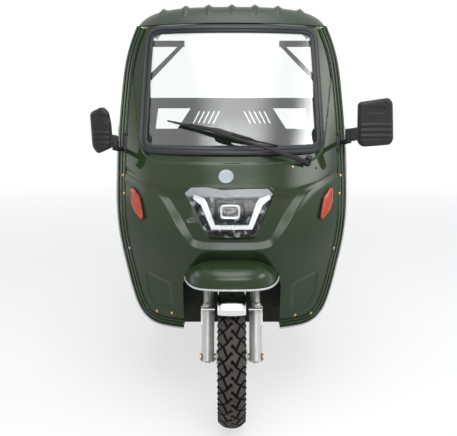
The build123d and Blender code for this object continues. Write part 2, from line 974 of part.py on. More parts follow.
def rim(x, y, bore_radius, hub_half):
    """A pressed steel wheel: rim, disc and hub round a through bore."""
    half = tyre_width / 2
    barrel_out = rim_radius
    barrel_in = rim_radius - 8
    profile = make_face(
        Polyline(
            (bore_radius, -hub_half),
            (hub_radius, -hub_half),
            (hub_radius, disc_crown - disc_sheet),
            (62, disc_crown - disc_sheet),
            (92, -disc_sheet),
            (barrel_in, -disc_sheet),
            (barrel_in, 14 - half),
            (barrel_out, 14 - half),
            (barrel_out, half - 14),
            (barrel_in, half - 14),
            (barrel_in, 0),
            (94, 0),
            (64, disc_crown),
            (hub_radius, disc_crown),
            (hub_radius, hub_half),
            (bore_radius, hub_half),
            close=True,
        )
    )
    wheel = revolve(Plane.XZ * profile, Axis.Z)
    for spot in PolarLocations((92 + barrel_in) / 2, disc_hole_count):
        wheel = wheel - spot * Pos(0, 0, -20) * extrude(Circle(disc_hole_radius), 40)
    return Pos(x, y, tyre_radius) * Rot(0, 90, 0) * wheel


for name, wheel_x in (("rear_left", rear_track_half), ("rear_right", -rear_track_half)):
    write(f"{name}_tyre", tyre(wheel_x, rear_axle_y))
    write(f"{name}_rim", rim(wheel_x, rear_axle_y, stub_radius + running_fit, hub_half_length))
front_axle_radius = 7.5
sleeve_radius = 23.5
front_hub_half = fork_leg_spacing / 2 - sleeve_radius - 5
write("front_tyre", tyre(0, front_axle_y))
write("front_rim", rim(0, front_axle_y, front_axle_radius + running_fit, front_hub_half))

# ---------------------------------------------------------------- fork and steering
hub_plane = Plane((0, front_axle_y, tyre_radius), x_dir=(1, 0, 0), z_dir=steer_axis)
leg_low = -18
sleeve_top = 190
clamp_low = 350
clamp_low_thickness = 34
clamp_high = 600
clamp_high_thickness = 24
leg_top = clamp_high + clamp_high_thickness
leg_offset = fork_offset * cos(rake)
fork = None
for side in (-1, 1):
    leg = hub_plane * Pos(side * fork_leg_spacing / 2, 0, leg_low) * extrude(
        Circle(fork_leg_diameter / 2), leg_top - leg_low
    )
    sleeve = hub_plane * Pos(side * fork_leg_spacing / 2, 0, leg_low) * extrude(
        Circle(sleeve_radius), sleeve_top - leg_low
    )
    lug_inner = fork_leg_spacing / 2 + sleeve_radius - 6
    lug = solid_box(lug_inner, lug_inner + 10, -14, 14, sleeve_top - 74, sleeve_top)
    lug = lug if side > 0 else mirror(lug, Plane.YZ)
    leg = leg + sleeve + hub_plane * lug
    fork = leg if fork is None else fork + leg
stem_shift = fork_offset * sin(rake)
for level, thickness in ((clamp_low, clamp_low_thickness), (clamp_high, clamp_high_thickness)):
    bridge = hub_plane * Pos(0, leg_offset / 2, level) * extrude(
        RectangleRounded(fork_leg_spacing + 56, leg_offset + 56, 26), thickness
    )
    fork = fork + bridge
stem_top = 742
fork = fork + across_axis(clamp_low - stem_shift) * extrude(
    Circle(stem_radius), stem_top - clamp_low + stem_shift
)
axle_bar = Pos(-fork_leg_spacing / 2 - 30, front_axle_y, tyre_radius) * Rot(0, 90, 0) * extrude(
    Circle(front_axle_radius), fork_leg_spacing + 60
)
fork = fork - axle_bar
write("front_fork", fork)
write("front_axle", axle_bar)

head_bore = across_axis(head_low - 2) * extrude(
    Circle(stem_radius + running_fit), head_high - head_low + 4
)
chassis = (chassis + head_tube) - head_bore
write("chassis_frame", chassis)

bar_radius = 11
bar_level = stem_top + bar_radius
bar_centre = on_axis(bar_level)
bar_straight = 70
bar_rise = 10
grip_inner_x = 190
grip_inner_back = 60
grip_outer_x = 330
grip_outer_back = 110


def bar_point(x, back, rise):
    """A point of the handlebar, measured from its middle."""
    return Vector(x, bar_centre.Y + back, bar_centre.Z + rise)


bar_path = [
    bar_point(-grip_outer_x, grip_outer_back, bar_rise),
    bar_point(-grip_inner_x, grip_inner_back, bar_rise),
    bar_point(-bar_straight, 0, 0),
    bar_point(bar_straight, 0, 0),
    bar_point(grip_inner_x, grip_inner_back, bar_rise),
    bar_point(grip_outer_x, grip_outer_back, bar_rise),
]
bar_line = FilletPolyline(*bar_path, radius=40)
handlebar = sweep(Plane(bar_line @ 0, z_dir=bar_line % 0) * Circle(bar_radius), path=bar_line)
write("handlebar", handlebar)
grip_length = 110
grip_radius = 16
grips = []
for side in (-1, 1):
    outer = bar_point(side * grip_outer_x, grip_outer_back, bar_rise)
    inner = bar_point(side * grip_inner_x, grip_inner_back, bar_rise)
    direction = (outer - inner).normalized()
    grip_plane = Plane(outer - direction * grip_length, z_dir=direction)
    ring = Circle(grip_radius) - Circle(bar_radius)
    grips.append(grip_plane * extrude(ring, grip_length))
write("handlebar_grips", Compound(children=grips))
display_height = 40
display_level = bar_centre.Z + bar_radius + 1 + display_height / 2
display = Pos(0, bar_centre.Y, display_level) * Box(150, 60, display_height)
write("instrument_display", display)

fender_radius = 292
fender_sheet = 3
fender_half = 55
fender_ring = Circle(fender_radius + fender_sheet) - Circle(fender_radius)
fender_keep = make_face(
    Polyline((0, 0), (-400, 385), (-400, 420), (400, 420), (400, 300), close=True)
)
fender_start = (-fender_half, front_axle_y, tyre_radius)
fender_plane = Plane(fender_start, x_dir=(0, 1, 0), z_dir=(1, 0, 0))
fender = fender_plane * extrude(fender_ring & fender_keep, 2 * fender_half)
leg_face_x = fork_leg_spacing / 2 - fork_leg_diameter / 2 - seat_gap
fender_stay_half = 12
stay_reach = fender_radius + fender_sheet / 2
stay_y = front_axle_y + stay_reach * sin(rake)
stay_z = tyre_radius + stay_reach * cos(rake)
for side in (-1, 1):
    fender = fender + solid_box(
        min(side * (fender_half - 2), side * leg_face_x),
        max(side * (fender_half - 2), side * leg_face_x),
        stay_y - fender_stay_half,
        stay_y + fender_stay_half,
        stay_z - fender_stay_half,
        stay_z + fender_stay_half,
    )
write("front_mudguard", fender)

# ---------------------------------------------------------------- foot brake and parking brake
pedal = solid_box(110, 180, foot_wall_y + 90, foot_wall_y + 98, 380, 440)
pedal = pedal + rod((145, foot_wall_y + 94, 400), (145, foot_wall_y + 40, floor_top + 12), 7)
pedal = pedal + solid_box(
    125, 165, foot_wall_y + 25, foot_wall_y + 55, floor_top, floor_top + 16
)
write("brake_pedal", pedal)
lever = rod((-250, box_front - 60, floor_top + 12), (-250, box_front - 170, 520), 9)
lever = lever + solid_box(-275, -225, box_front - 90, box_front - 30, floor_top, floor_top + 24)
write("parking_brake_lever", lever)
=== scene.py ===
import math

import bmesh
import bpy
import numpy as np
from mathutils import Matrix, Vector
from mathutils.geometry import delaunay_2d_cdt


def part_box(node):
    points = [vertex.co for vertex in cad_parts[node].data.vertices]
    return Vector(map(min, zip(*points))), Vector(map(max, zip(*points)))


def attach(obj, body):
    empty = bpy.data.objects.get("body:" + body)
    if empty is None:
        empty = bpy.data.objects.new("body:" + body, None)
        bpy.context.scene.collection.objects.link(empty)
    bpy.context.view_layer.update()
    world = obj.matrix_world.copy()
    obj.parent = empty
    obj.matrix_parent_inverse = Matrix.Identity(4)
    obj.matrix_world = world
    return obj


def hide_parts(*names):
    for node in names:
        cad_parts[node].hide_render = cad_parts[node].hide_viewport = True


# Electric cargo tricycle with an open-sided cab. The nose points to -Y, the vehicle's
# left is +X, the ground is Z = 0 and every length is in metres.

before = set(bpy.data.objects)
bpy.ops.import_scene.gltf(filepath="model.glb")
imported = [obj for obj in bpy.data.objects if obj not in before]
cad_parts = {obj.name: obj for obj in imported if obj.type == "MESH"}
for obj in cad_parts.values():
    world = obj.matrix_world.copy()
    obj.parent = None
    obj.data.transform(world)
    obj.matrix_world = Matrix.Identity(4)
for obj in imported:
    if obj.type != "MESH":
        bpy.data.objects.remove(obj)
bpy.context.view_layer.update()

# ---------------------------------------------------------------- studio
# A pale floor, one large soft box high in front, a second over the load bed and a softer
# one on each side. The far floor and the sky are plain white to the eye.

scene = bpy.context.scene
scene.view_settings.view_transform = "Standard"


def shader_node(tree, kind, settings=None, **values):
    """Adds a shader node with its own settings and the values of its open inputs."""
    node = tree.nodes.new("ShaderNode" + kind)
    for setting, value in (settings or {}).items():
        setattr(node, setting, value)
    for socket, value in values.items():
        node.inputs[socket.replace("_", " ")].default_value = value
    return node


def ramp_node(tree, stops, blend="LINEAR"):
    """Adds a colour ramp through (position, colour) stops."""
    node = shader_node(tree, "ValToRGB")
    points = node.color_ramp.elements
    node.color_ramp.interpolation = blend
    for i, (position, colour) in enumerate(stops):
        point = points[i] if i < 2 else points.new(position)
        point.position = position
        point.color = (*colour, 1.0)
    return node


def links_into(tree, pairs):
    """Joins output sockets to input sockets."""
    for source, target in pairs:
        tree.links.new(source, target)


def placed(name, data, place, turn):
    """Puts a camera or a lamp in the scene."""
    thing = bpy.data.objects.new(name, data)
    thing.location = place
    thing.rotation_euler = turn
    scene.collection.objects.link(thing)
    return thing


def add_camera(place, pitch_deg, focal_mm, shift):
    """The camera, level from side to side and tipped down a little."""
    data = bpy.data.cameras.new("front_camera")
    data.lens = focal_mm
    data.sensor_width = 36.0
    data.shift_x, data.shift_y = shift
    data.clip_end = 200.0
    scene.camera = placed("front_camera", data, place, (math.radians(90.0 - pitch_deg), 0.0, 0.0))


SOFT_FACE = [(0.0, (0.0, 0.0, 0.0)), (0.42, (1.0, 1.0, 1.0)), (0.58, (1.0, 1.0, 1.0)),
             (1.0, (0.0, 0.0, 0.0))]


def add_softbox(name, place, aim, size, radiance):
    """A rectangular soft light, brightest in the middle of its face and faint at its edges."""
    data = bpy.data.lights.new(name, "AREA")
    data.shape = "RECTANGLE"
    data.size, data.size_y = size
    data.energy = radiance * math.pi * size[0] * size[1]
    data.use_nodes = True
    tree = data.node_tree
    tree.nodes.clear()
    face = shader_node(tree, "NewGeometry")
    split = shader_node(tree, "SeparateXYZ")
    fall_x, fall_y = (ramp_node(tree, SOFT_FACE, "EASE") for _ in range(2))
    both = shader_node(tree, "Math", {"operation": "MULTIPLY"})
    glow = shader_node(tree, "Emission")
    links_into(tree, [
        (face.outputs["Parametric"], split.inputs[0]),
        (split.outputs["X"], fall_x.inputs["Fac"]),
        (split.outputs["Y"], fall_y.inputs["Fac"]),
        (fall_x.outputs["Color"], both.inputs[0]),
        (fall_y.outputs["Color"], both.inputs[1]),
        (both.outputs[0], glow.inputs["Strength"]),
        (glow.outputs[0], shader_node(tree, "OutputLight").inputs["Surface"]),
    ])
    placed(name, data, place, (Vector(aim) - Vector(place)).to_track_quat("-Z", "Y").to_euler())


add_camera(place=(0.0, -3.775, 1.202), pitch_deg=8.5, focal_mm=55.14, shift=(-0.0072, -0.0219))
add_softbox("soft_box_front", (0.3, -4.6, 3.6), (0.0, -1.27, 0.75), (6.6, 3.2), 5.6)
add_softbox("soft_box_over", (0.1, -1.9, 5.2), (0.0, -1.2, 0.8), (5.4, 6.0), 4.4)
add_softbox("soft_box_left", (4.9, -1.5, 3.7), (0.2, -0.9, 1.1), (4.5, 3.8), 5.5)
add_softbox("soft_box_right", (-5.2, 0.6, 2.6), (0.0, 0.2, 0.8), (4.5, 3.0), 1.8)


def light_seen(tree):
    """One for rays that end at the eye, in a mirror or behind glass, and zero for the rest."""
    path = shader_node(tree, "LightPath")
    direct, seen = (shader_node(tree, "Math", {"operation": "MAXIMUM"}) for _ in range(2))
    links_into(tree, [
        (path.outputs["Is Camera Ray"], direct.inputs[0]),
        (path.outputs["Is Transmission Ray"], direct.inputs[1]),
        (direct.outputs[0], seen.inputs[0]),
        (path.outputs["Is Glossy Ray"], seen.inputs[1]),
    ])
    return seen


def make_sky():
    """White to the eye and through glass; a soft grey dome, paler overhead, for the rest."""
    scene.world = bpy.data.worlds.new("studio_sky")
    scene.world.use_nodes = True
    tree = scene.world.node_tree
    tree.nodes.clear()
    coordinates = shader_node(tree, "TexCoord")
    split = shader_node(tree, "SeparateXYZ")
    dome = ramp_node(tree, [(0.0, (0.30, 0.31, 0.32)), (0.75, (0.80, 0.84, 0.88))])
    soft = shader_node(tree, "Background", Strength=0.5)
    white = shader_node(tree, "Background", Color=(1.0, 1.0, 1.0, 1.0))
    mix = shader_node(tree, "MixShader")
    links_into(tree, [
        (coordinates.outputs["Generated"], split.inputs[0]),
        (split.outputs["Z"], dome.inputs["Fac"]),
        (dome.outputs["Color"], soft.inputs["Color"]),
        (light_seen(tree).outputs[0], mix.inputs["Fac"]),
        (soft.outputs[0], mix.inputs[1]),
        (white.outputs[0], mix.inputs[2]),
        (mix.outputs[0], shader_node(tree, "OutputWorld").inputs["Surface"]),
    ])


def make_floor(reach=60.0):
    """A wide pale floor that takes the shadow near the vehicle and fades to white far off."""
    mesh = bpy.data.meshes.new("studio_floor")
    corners = [(x * reach, y * reach, 0.0) for x, y in ((-1, -1), (1, -1), (1, 1), (-1, 1))]
    mesh.from_pydata(corners, [], [(0, 1, 2, 3)])
    floor = bpy.data.objects.new("studio_floor", mesh)
    scene.collection.objects.link(floor)
    paper = bpy.data.materials.new("pale_floor")
    paper.use_nodes = True
    tree = paper.node_tree
    tree.nodes.clear()
    matt = shader_node(tree, "BsdfDiffuse", Color=(0.82, 0.82, 0.82, 1.0))
    glow = shader_node(tree, "Emission")
    coordinates = shader_node(tree, "TexCoord")
    distance = shader_node(tree, "VectorMath", {"operation": "LENGTH"})
    fade = shader_node(tree, "MapRange", From_Min=2.0, From_Max=7.0, To_Min=0.68, To_Max=1.0)
    share = shader_node(tree, "Math", {"operation": "MULTIPLY"})
    mix = shader_node(tree, "MixShader")
    links_into(tree, [
        (coordinates.outputs["Object"], distance.inputs[0]),
        (distance.outputs["Value"], fade.inputs["Value"]),
        (light_seen(tree).outputs[0], share.inputs[0]),
        (fade.outputs[0], share.inputs[1]),
        (share.outputs[0], mix.inputs["Fac"]),
        (matt.outputs[0], mix.inputs[1]),
        (glow.outputs[0], mix.inputs[2]),
        (mix.outputs[0], shader_node(tree, "OutputMaterial").inputs["Surface"]),
    ])
    mesh.materials.append(paper)


make_sky()
make_floor()


# ---------------------------------------------------------------- paint, metal, rubber, glass
# The cab is pressed steel sprayed a dark army green and clear coated, with a faint orange
# peel, slow changes of depth in the colour and road dust on the low edges. The other
# finishes share that uneven coat, and each CAD piece gets the finish of its real material.


def plain_material(name, colour, roughness, **sockets):
    """A material, its node tree and its Principled shader with values on its sockets."""
    material = bpy.data.materials.new(name)
    material.use_nodes = True
    tree = material.node_tree
    shader = tree.nodes["Principled BSDF"]
    sockets = {"Base Color": (*colour, 1.0), "Roughness": roughness, **sockets}
    for socket, value in sockets.items():
        shader.inputs[socket.replace("_", " ")].default_value = value
    return material, tree, shader


def make_uneven_coat():
    """Slow colour changes, a fine surface ripple and dust near the ground."""
    group = bpy.data.node_groups.new("uneven_coat", "ShaderNodeTree")
    colour, number = "NodeSocketColor", "NodeSocketFloat"
    for socket, kind, value in [
        ("Colour", colour, (0.1, 0.1, 0.1, 1.0)),
        ("Deep Colour", colour, (0.05, 0.05, 0.05, 1.0)),
        ("Dust Colour", colour, (0.30, 0.27, 0.22, 1.0)),
        ("Dust Height", number, 0.5),
        ("Dust Amount", number, 0.25),
        ("Smooth", number, 0.12),
        ("Rough", number, 0.5),
        ("Ripple Scale", number, 260.0),
        ("Ripple", number, 0.02),
    ]:
        group.interface.new_socket(socket, in_out="INPUT", socket_type=kind).default_value = value
    for socket, kind in (("Colour", colour), ("Roughness", number), ("Normal", "NodeSocketVector")):
        group.interface.new_socket(socket, in_out="OUTPUT", socket_type=kind)
    start, end = group.nodes.new("NodeGroupInput"), group.nodes.new("NodeGroupOutput")
    place = shader_node(group, "TexCoord")
    height = shader_node(group, "SeparateXYZ")
    slow = shader_node(group, "TexNoise", Scale=2.6, Detail=4.0)
    specks = shader_node(group, "TexNoise", Scale=24.0, Detail=8.0, Roughness=0.7)
    peel = shader_node(group, "TexNoise", Detail=2.0)
    slow_range = shader_node(group, "MapRange", From_Min=0.35, From_Max=0.65)
    low = shader_node(group, "MapRange", From_Min=0.05, To_Min=1.0, To_Max=0.0)
    speck_range = shader_node(group, "MapRange", From_Min=0.38, From_Max=0.72)
    smudge = shader_node(group, "MapRange", From_Min=0.3, From_Max=0.7, To_Max=0.12)
    depth, dusty = (shader_node(group, "Mix", {"data_type": "RGBA"}) for _ in range(2))
    cover, amount = (shader_node(group, "Math", {"operation": "MULTIPLY"}) for _ in range(2))
    haze = shader_node(group, "Math", {"operation": "ADD", "use_clamp": True})
    dull = shader_node(group, "Mix")
    bump = shader_node(group, "Bump", Distance=0.001)
    links_into(group, [
        (place.outputs["Object"], slow.inputs["Vector"]),
        (place.outputs["Object"], height.inputs[0]),
        (place.outputs["Object"], specks.inputs["Vector"]),
        (place.outputs["Object"], peel.inputs["Vector"]),
        (slow.outputs["Fac"], slow_range.inputs["Value"]),
        (slow_range.outputs[0], depth.inputs["Factor"]),
        (start.outputs["Colour"], depth.inputs["A"]),
        (start.outputs["Deep Colour"], depth.inputs["B"]),
        (height.outputs["Z"], low.inputs["Value"]),
        (start.outputs["Dust Height"], low.inputs["From Max"]),
        (specks.outputs["Fac"], speck_range.inputs["Value"]),
        (low.outputs[0], cover.inputs[0]),
        (speck_range.outputs[0], cover.inputs[1]),
        (cover.outputs[0], amount.inputs[0]),
        (start.outputs["Dust Amount"], amount.inputs[1]),
        (amount.outputs[0], dusty.inputs["Factor"]),
        (depth.outputs["Result"], dusty.inputs["A"]),
        (start.outputs["Dust Colour"], dusty.inputs["B"]),
        (dusty.outputs["Result"], end.inputs["Colour"]),
        (specks.outputs["Fac"], smudge.inputs["Value"]),
        (smudge.outputs[0], haze.inputs[0]),
        (amount.outputs[0], haze.inputs[1]),
        (haze.outputs[0], dull.inputs["Factor"]),
        (start.outputs["Smooth"], dull.inputs["A"]),
        (start.outputs["Rough"], dull.inputs["B"]),
        (dull.outputs["Result"], end.inputs["Roughness"]),
        (start.outputs["Ripple Scale"], peel.inputs["Scale"]),
        (peel.outputs["Fac"], bump.inputs["Height"]),
        (start.outputs["Ripple"], bump.inputs["Strength"]),
        (bump.outputs[0], end.inputs["Normal"]),
    ])
    return group


uneven_coat = make_uneven_coat()


def coat_effect(tree, colour, deep, **values):
    """The uneven coat in a material's tree, with its own colours and values."""
    values = {"Colour": (*colour, 1.0), "Deep Colour": (*deep, 1.0), **values}
    effect = tree.nodes.new("ShaderNodeGroup")
    effect.node_tree = uneven_coat
    for socket, value in values.items():
        effect.inputs[socket.replace("_", " ")].default_value = value
    return effect


def coated(name, colour, deep, smooth=0.12, rough=0.5, coat=0.0, dust_height=0.5,
           dust_amount=0.25, ripple=0.02, ripple_scale=260.0, **sockets):
    """A material with the uneven coat's colour, roughness and ripple."""
    material, tree, shader = plain_material(name, colour, smooth, Coat_Weight=coat, **sockets)
    skin = coat_effect(
        tree, colour, deep, Dust_Height=dust_height, Dust_Amount=dust_amount, Smooth=smooth,
        Rough=rough, Ripple=ripple, Ripple_Scale=ripple_scale,
    )
    links_into(tree, [
        (skin.outputs["Colour"], shader.inputs["Base Color"]),
        (skin.outputs["Roughness"], shader.inputs["Roughness"]),
        (skin.outputs["Normal"], shader.inputs["Normal"]),
    ])
    return material


def coat_nodes(material, *names):
    """Gives CAD pieces their finish."""
    for name in names:
        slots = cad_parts[name].data.materials
        slots.clear()
        slots.append(material)


cab_green = coated(
    "cab_green_paint", (0.020, 0.036, 0.013), (0.014, 0.028, 0.009),
    smooth=0.35, rough=0.6, coat=0.60, dust_height=0.42, dust_amount=0.05, ripple=0.04,
    ripple_scale=180.0, Coat_Roughness=0.04, Specular_IOR_Level=0.05,
)
# The roof gets a lighter, greyer copy of the cab green, though it is the same paint: painted sky light
# on its upward face.
sky_lit_roof_green = coated(
    "roof_green_paint", (0.046, 0.060, 0.044), (0.036, 0.048, 0.034),
    smooth=0.40, rough=0.6, coat=0.35, dust_height=0.42, dust_amount=0.05, ripple=0.04,
    ripple_scale=180.0, Coat_Roughness=0.12, Specular_IOR_Level=0.05,
)
inner_green = coated(
    "inner_green_paint", (0.018, 0.025, 0.014), (0.012, 0.017, 0.009),
    smooth=0.40, rough=0.6, dust_height=0.6, dust_amount=0.15, Specular_IOR_Level=0.15,
)
bed_green = coated(
    "bed_green_paint", (0.048, 0.062, 0.034), (0.038, 0.050, 0.028),
    smooth=0.28, rough=0.6, coat=0.3, dust_height=0.9, dust_amount=0.25, ripple=0.06,
)
chassis_black = coated(
    "chassis_black_paint", (0.016, 0.016, 0.017), (0.010, 0.010, 0.011),
    smooth=0.38, rough=0.7, dust_height=0.6, dust_amount=0.25, ripple=0.08, ripple_scale=400.0,
    Specular_IOR_Level=0.25,
)
brass_plate = coated(
    "brass_plate", (0.52, 0.36, 0.17), (0.42, 0.27, 0.12),
    smooth=0.28, rough=0.5, dust_height=0.5, dust_amount=0.2, Metallic=1.0,
)
zinc_plate = coated(
    "zinc_plate", (0.42, 0.41, 0.38), (0.34, 0.33, 0.30),
    smooth=0.30, rough=0.6, dust_height=0.5, dust_amount=0.3, Metallic=1.0,
)
bright_chrome = coated(
    "bright_chrome", (0.78, 0.79, 0.80), (0.72, 0.73, 0.74),
    smooth=0.05, rough=0.35, dust_height=0.6, dust_amount=0.15, ripple=0.01, Metallic=1.0,
)
silver_paint = coated(
    "silver_wheel_paint", (0.56, 0.56, 0.555), (0.48, 0.48, 0.475),
    smooth=0.40, rough=0.6, coat=0.2, dust_height=0.4, dust_amount=0.2, Metallic=0.5,
)
black_plastic = coated(
    "black_moulded_plastic", (0.020, 0.020, 0.021), (0.014, 0.014, 0.015),
    smooth=0.42, rough=0.6, dust_height=0.6, dust_amount=0.1, ripple=0.5, ripple_scale=900.0,
    Specular_IOR_Level=0.25,
)
gloss_black = coated(
    "gloss_black_plastic", (0.012, 0.012, 0.013), (0.009, 0.009, 0.010),
    smooth=0.12, rough=0.4, coat=0.1, dust_amount=0.0, Specular_IOR_Level=0.2,
)
seal_rubber = coated(
    "seal_rubber", (0.030, 0.032, 0.038), (0.020, 0.022, 0.027),
    smooth=0.36, rough=0.6, dust_height=0.6, dust_amount=0.1, ripple=0.15, ripple_scale=500.0,
    Specular_IOR_Level=0.25,
)
tyre_rubber = coated(
    "tyre_rubber", (0.022, 0.021, 0.021), (0.014, 0.013, 0.013),
    smooth=0.55, rough=0.85, dust_height=0.7, dust_amount=0.35, ripple=0.25, ripple_scale=420.0,
)
seat_vinyl = coated(
    "black_seat_vinyl", (0.020, 0.020, 0.021), (0.014, 0.014, 0.015),
    smooth=0.42, rough=0.6, dust_height=0.6, dust_amount=0.1, ripple=0.7, ripple_scale=650.0,
)
motor_grey = coated(
    "motor_grey_paint", (0.15, 0.15, 0.15), (0.11, 0.11, 0.11),
    smooth=0.42, rough=0.7, dust_height=0.5, dust_amount=0.4, ripple=0.2,
)
amber_lens = coated(
    "amber_lens", (0.44, 0.049, 0.013), (0.30, 0.030, 0.009),
    smooth=0.10, rough=0.3, coat=0.4, dust_amount=0.0, Specular_IOR_Level=0.2,
)
red_lens = coated(
    "red_lens", (0.45, 0.010, 0.010), (0.35, 0.008, 0.008),
    smooth=0.10, rough=0.3, coat=0.5, dust_amount=0.1, Specular_IOR_Level=0.2,
)


def clear_glass(name, tint, bend=1.45, coat=0.0):
    """Glass that is clear from both sides."""
    return plain_material(name, tint, 0.0, Transmission_Weight=1.0, IOR=bend, Coat_Weight=coat,
                          Coat_IOR=1.8, Coat_Roughness=0.02)[0]


screen_glass = clear_glass("windscreen_glass", (0.92, 0.96, 0.95), coat=0.6)

coat_nodes(cab_green, "front_shell", "shell_edge_strips", "fender_cap", "roof")
coat_nodes(inner_green, "rear_bulkhead", "cab_posts", "floor_pan", "seat_box", "dashboard")
coat_nodes(bed_green, "cargo_bed", "tailgate")
coat_nodes(chassis_black, "chassis_frame", "leaf_springs", "rear_axle", "rear_mudguards",
           "brake_pedal", "parking_brake_lever")
coat_nodes(seal_rubber, "windscreen_rubber")
coat_nodes(screen_glass, "windscreen_glass", "headlamp_lens")
coat_nodes(gloss_black, "headlamp_housing", "instrument_display")
coat_nodes(black_plastic, "turn_signal_bases", "wiper", "mirror_left", "mirror_right",
           "battery_pack", "handlebar_grips")
coat_nodes(amber_lens, "turn_signals")
coat_nodes(red_lens, "tail_lamps")
coat_nodes(bright_chrome, "front_mudguard", "handlebar")
coat_nodes(silver_paint, "front_fork")
coat_nodes(zinc_plate, "front_axle", "tailgate_latches")
coat_nodes(silver_paint, "front_rim", "rear_left_rim", "rear_right_rim")
coat_nodes(tyre_rubber, "front_tyre", "rear_left_tyre", "rear_right_tyre")
coat_nodes(seat_vinyl, "seat_cushion", "seat_backrest")
coat_nodes(motor_grey, "drive_motor")

# ---------------------------------------------------------------- nose shell
# One large pressing makes the whole front of the cab, from the roof's edge to the wheel
# arch. It has a sunken U round the headlamp, a step under the windscreen, a swage across
# each shoulder and a shallow pad in each lower corner.

FRONT_AXLE_Y = -1.250
NOSE_HEIGHTS = [0.290, 0.430, 0.570, 0.700, 0.860, 0.985, 1.130, 1.330, 1.530, 1.640]
NOSE_SETBACK = [0.095, 0.058, 0.012, -0.038, -0.008, 0.062, 0.152, 0.250, 0.350, 0.404]
NOSE_SWEEP = [0.175, 0.190, 0.205, 0.215, 0.215, 0.200, 0.165, 0.150, 0.150, 0.150]
SWEEP_AT = 0.420
SWEEP_POWER = 2.2


def smooth_through(knots, values):
    """A curve with no kinks through a table of values."""
    knots, values = np.array(knots, float), np.array(values, float)
    gaps = np.diff(knots)
    count = len(knots)
    bends = np.eye(count)
    pulls = np.zeros(count)
    for i in range(1, count - 1):
        bends[i, i - 1:i + 2] = gaps[i - 1], 2.0 * (gaps[i - 1] + gaps[i]), gaps[i]
        rise = (values[i + 1] - values[i]) / gaps[i]
        pulls[i] = 6.0 * (rise - (values[i] - values[i - 1]) / gaps[i - 1])
    curve = np.linalg.solve(bends, pulls)

    def value(at):
        at = np.asarray(at, float)
        i = np.clip(np.searchsorted(knots, at) - 1, 0, count - 2)
        gap, step = gaps[i], at - knots[i]
        slope = (values[i + 1] - values[i]) / gap - gap * (2.0 * curve[i] + curve[i + 1]) / 6.0
        cubic = (curve[i + 1] - curve[i]) / (6.0 * gap)
        return values[i] + step * (slope + step * (0.5 * curve[i] + step * cubic))

    return value


nose_setback = smooth_through(NOSE_HEIGHTS, NOSE_SETBACK)
nose_sweep = smooth_through(NOSE_HEIGHTS, NOSE_SWEEP)


def nose_y(x, z):
    """Where the plain nose surface is, before any pressed form."""
    return FRONT_AXLE_Y + nose_setback(z) + nose_sweep(z) * (np.abs(x) / SWEEP_AT) ** SWEEP_POWER


def on_plain_nose(line, setback=0.0):
    """Front-view points carried back onto the plain nose surface, or set back from it."""
    x, z = np.asarray(line, float).T
    return np.stack([x, nose_y(x, z) + setback, z], 1)


def behind_nose(setback):
    """The plain nose surface moved back by a distance."""
    return lambda x, z: nose_y(x, z) + setback


def smooth_line(points, step=0.01, count=None):
    """Evenly spaced points on a smooth curve through a few."""
    points = np.array(points, float)
    along = np.concatenate([[0.0], np.cumsum(np.linalg.norm(np.diff(points, axis=0), axis=1))])
    count = count or max(2, int(along[-1] / step) + 1)
    at = np.linspace(0.0, along[-1], count)
    return np.stack([smooth_through(along, points[:, k])(at) for k in range(points.shape[1])], 1)


def rounded_loop(corners, radius, step):
    """A closed outline with rounded corners, as closely spaced points."""
    corners = [np.array(c, float) for c in corners]
    path = []
    for i, corner in enumerate(corners):
        before, after = corners[i - 1] - corner, corners[(i + 1) % len(corners)] - corner
        reach = min(radius, 0.45 * np.linalg.norm(before), 0.45 * np.linalg.norm(after))
        start = corner + before / np.linalg.norm(before) * reach
        end = corner + after / np.linalg.norm(after) * reach
        for t in np.linspace(0.0, 1.0, 9):
            path.append((1 - t) ** 2 * start + 2 * t * (1 - t) * corner + t * t * end)
    path.append(path[0])
    return divided(np.array(path), step)[:-1]


def divided(path, step):
    """The same line with points added so that none is further than a step from the next."""
    out = [path[0]]
    for a, b in zip(path[:-1], path[1:]):
        parts = max(1, int(math.ceil(np.linalg.norm(b - a) / step)))
        out += [a + (b - a) * k / parts for k in range(1, parts + 1)]
    return np.array(out)


def from_line(x, z, line):
    """Each point's distance from a line, positive on the line's left."""
    x, z = np.asarray(x, float), np.asarray(z, float)
    best = np.full(np.shape(x), 9.0)
    side = np.zeros(np.shape(x))
    for (ax, az), (bx, bz) in zip(line[:-1], line[1:]):
        dx, dz = bx - ax, bz - az
        px, pz = x - ax, z - az
        share = (px * dx + pz * dz) / max(dx * dx + dz * dz, 1e-12)
        np.maximum(share, 0.0, out=share)
        np.minimum(share, 1.0, out=share)
        away = (px - share * dx) ** 2 + (pz - share * dz) ** 2
        nearer = away < best - 1e-12
        best[nearer] = away[nearer]
        side[nearer] = np.sign(dx * pz - dz * px)[nearer]
    return np.sqrt(best) * side


def within(x, z, loop):
    """True for the points inside a closed outline."""
    inside = np.zeros(np.shape(x), bool)
    for (ax, az), (bx, bz) in zip(loop, np.roll(loop, -1, axis=0)):
        crosses = (az > z) != (bz > z)
        if az != bz:
            inside ^= crosses & (x < (bx - ax) * (z - az) / (bz - az) + ax)
    return inside


def in_sheet(x, z, outline, holes):
    """True for the points inside an outline and outside its holes."""
    inside = within(x, z, outline)
    for hole in holes:
        inside &= ~within(x, z, hole)
    return inside


def eased(value):
    """Rises from 0 to 1 with no corner at either end."""
    value = np.clip(value, 0.0, 1.0)
    return value * value * (3.0 - 2.0 * value)


def flat_ramp(value, corner=0.16):
    """Rises from 0 to 1 in a straight line with a small rounding at each end."""
    value = np.clip(value, 0.0, 1.0)
    bottom = np.minimum(value, corner) ** 2 / (2.0 * corner)
    middle = np.clip(value - corner, 0.0, 1.0 - 2.0 * corner)
    last = np.clip(value - 1.0 + corner, 0.0, corner)
    rise = bottom + middle + last - last ** 2 / (2.0 * corner)
    return rise / (1.0 - corner)


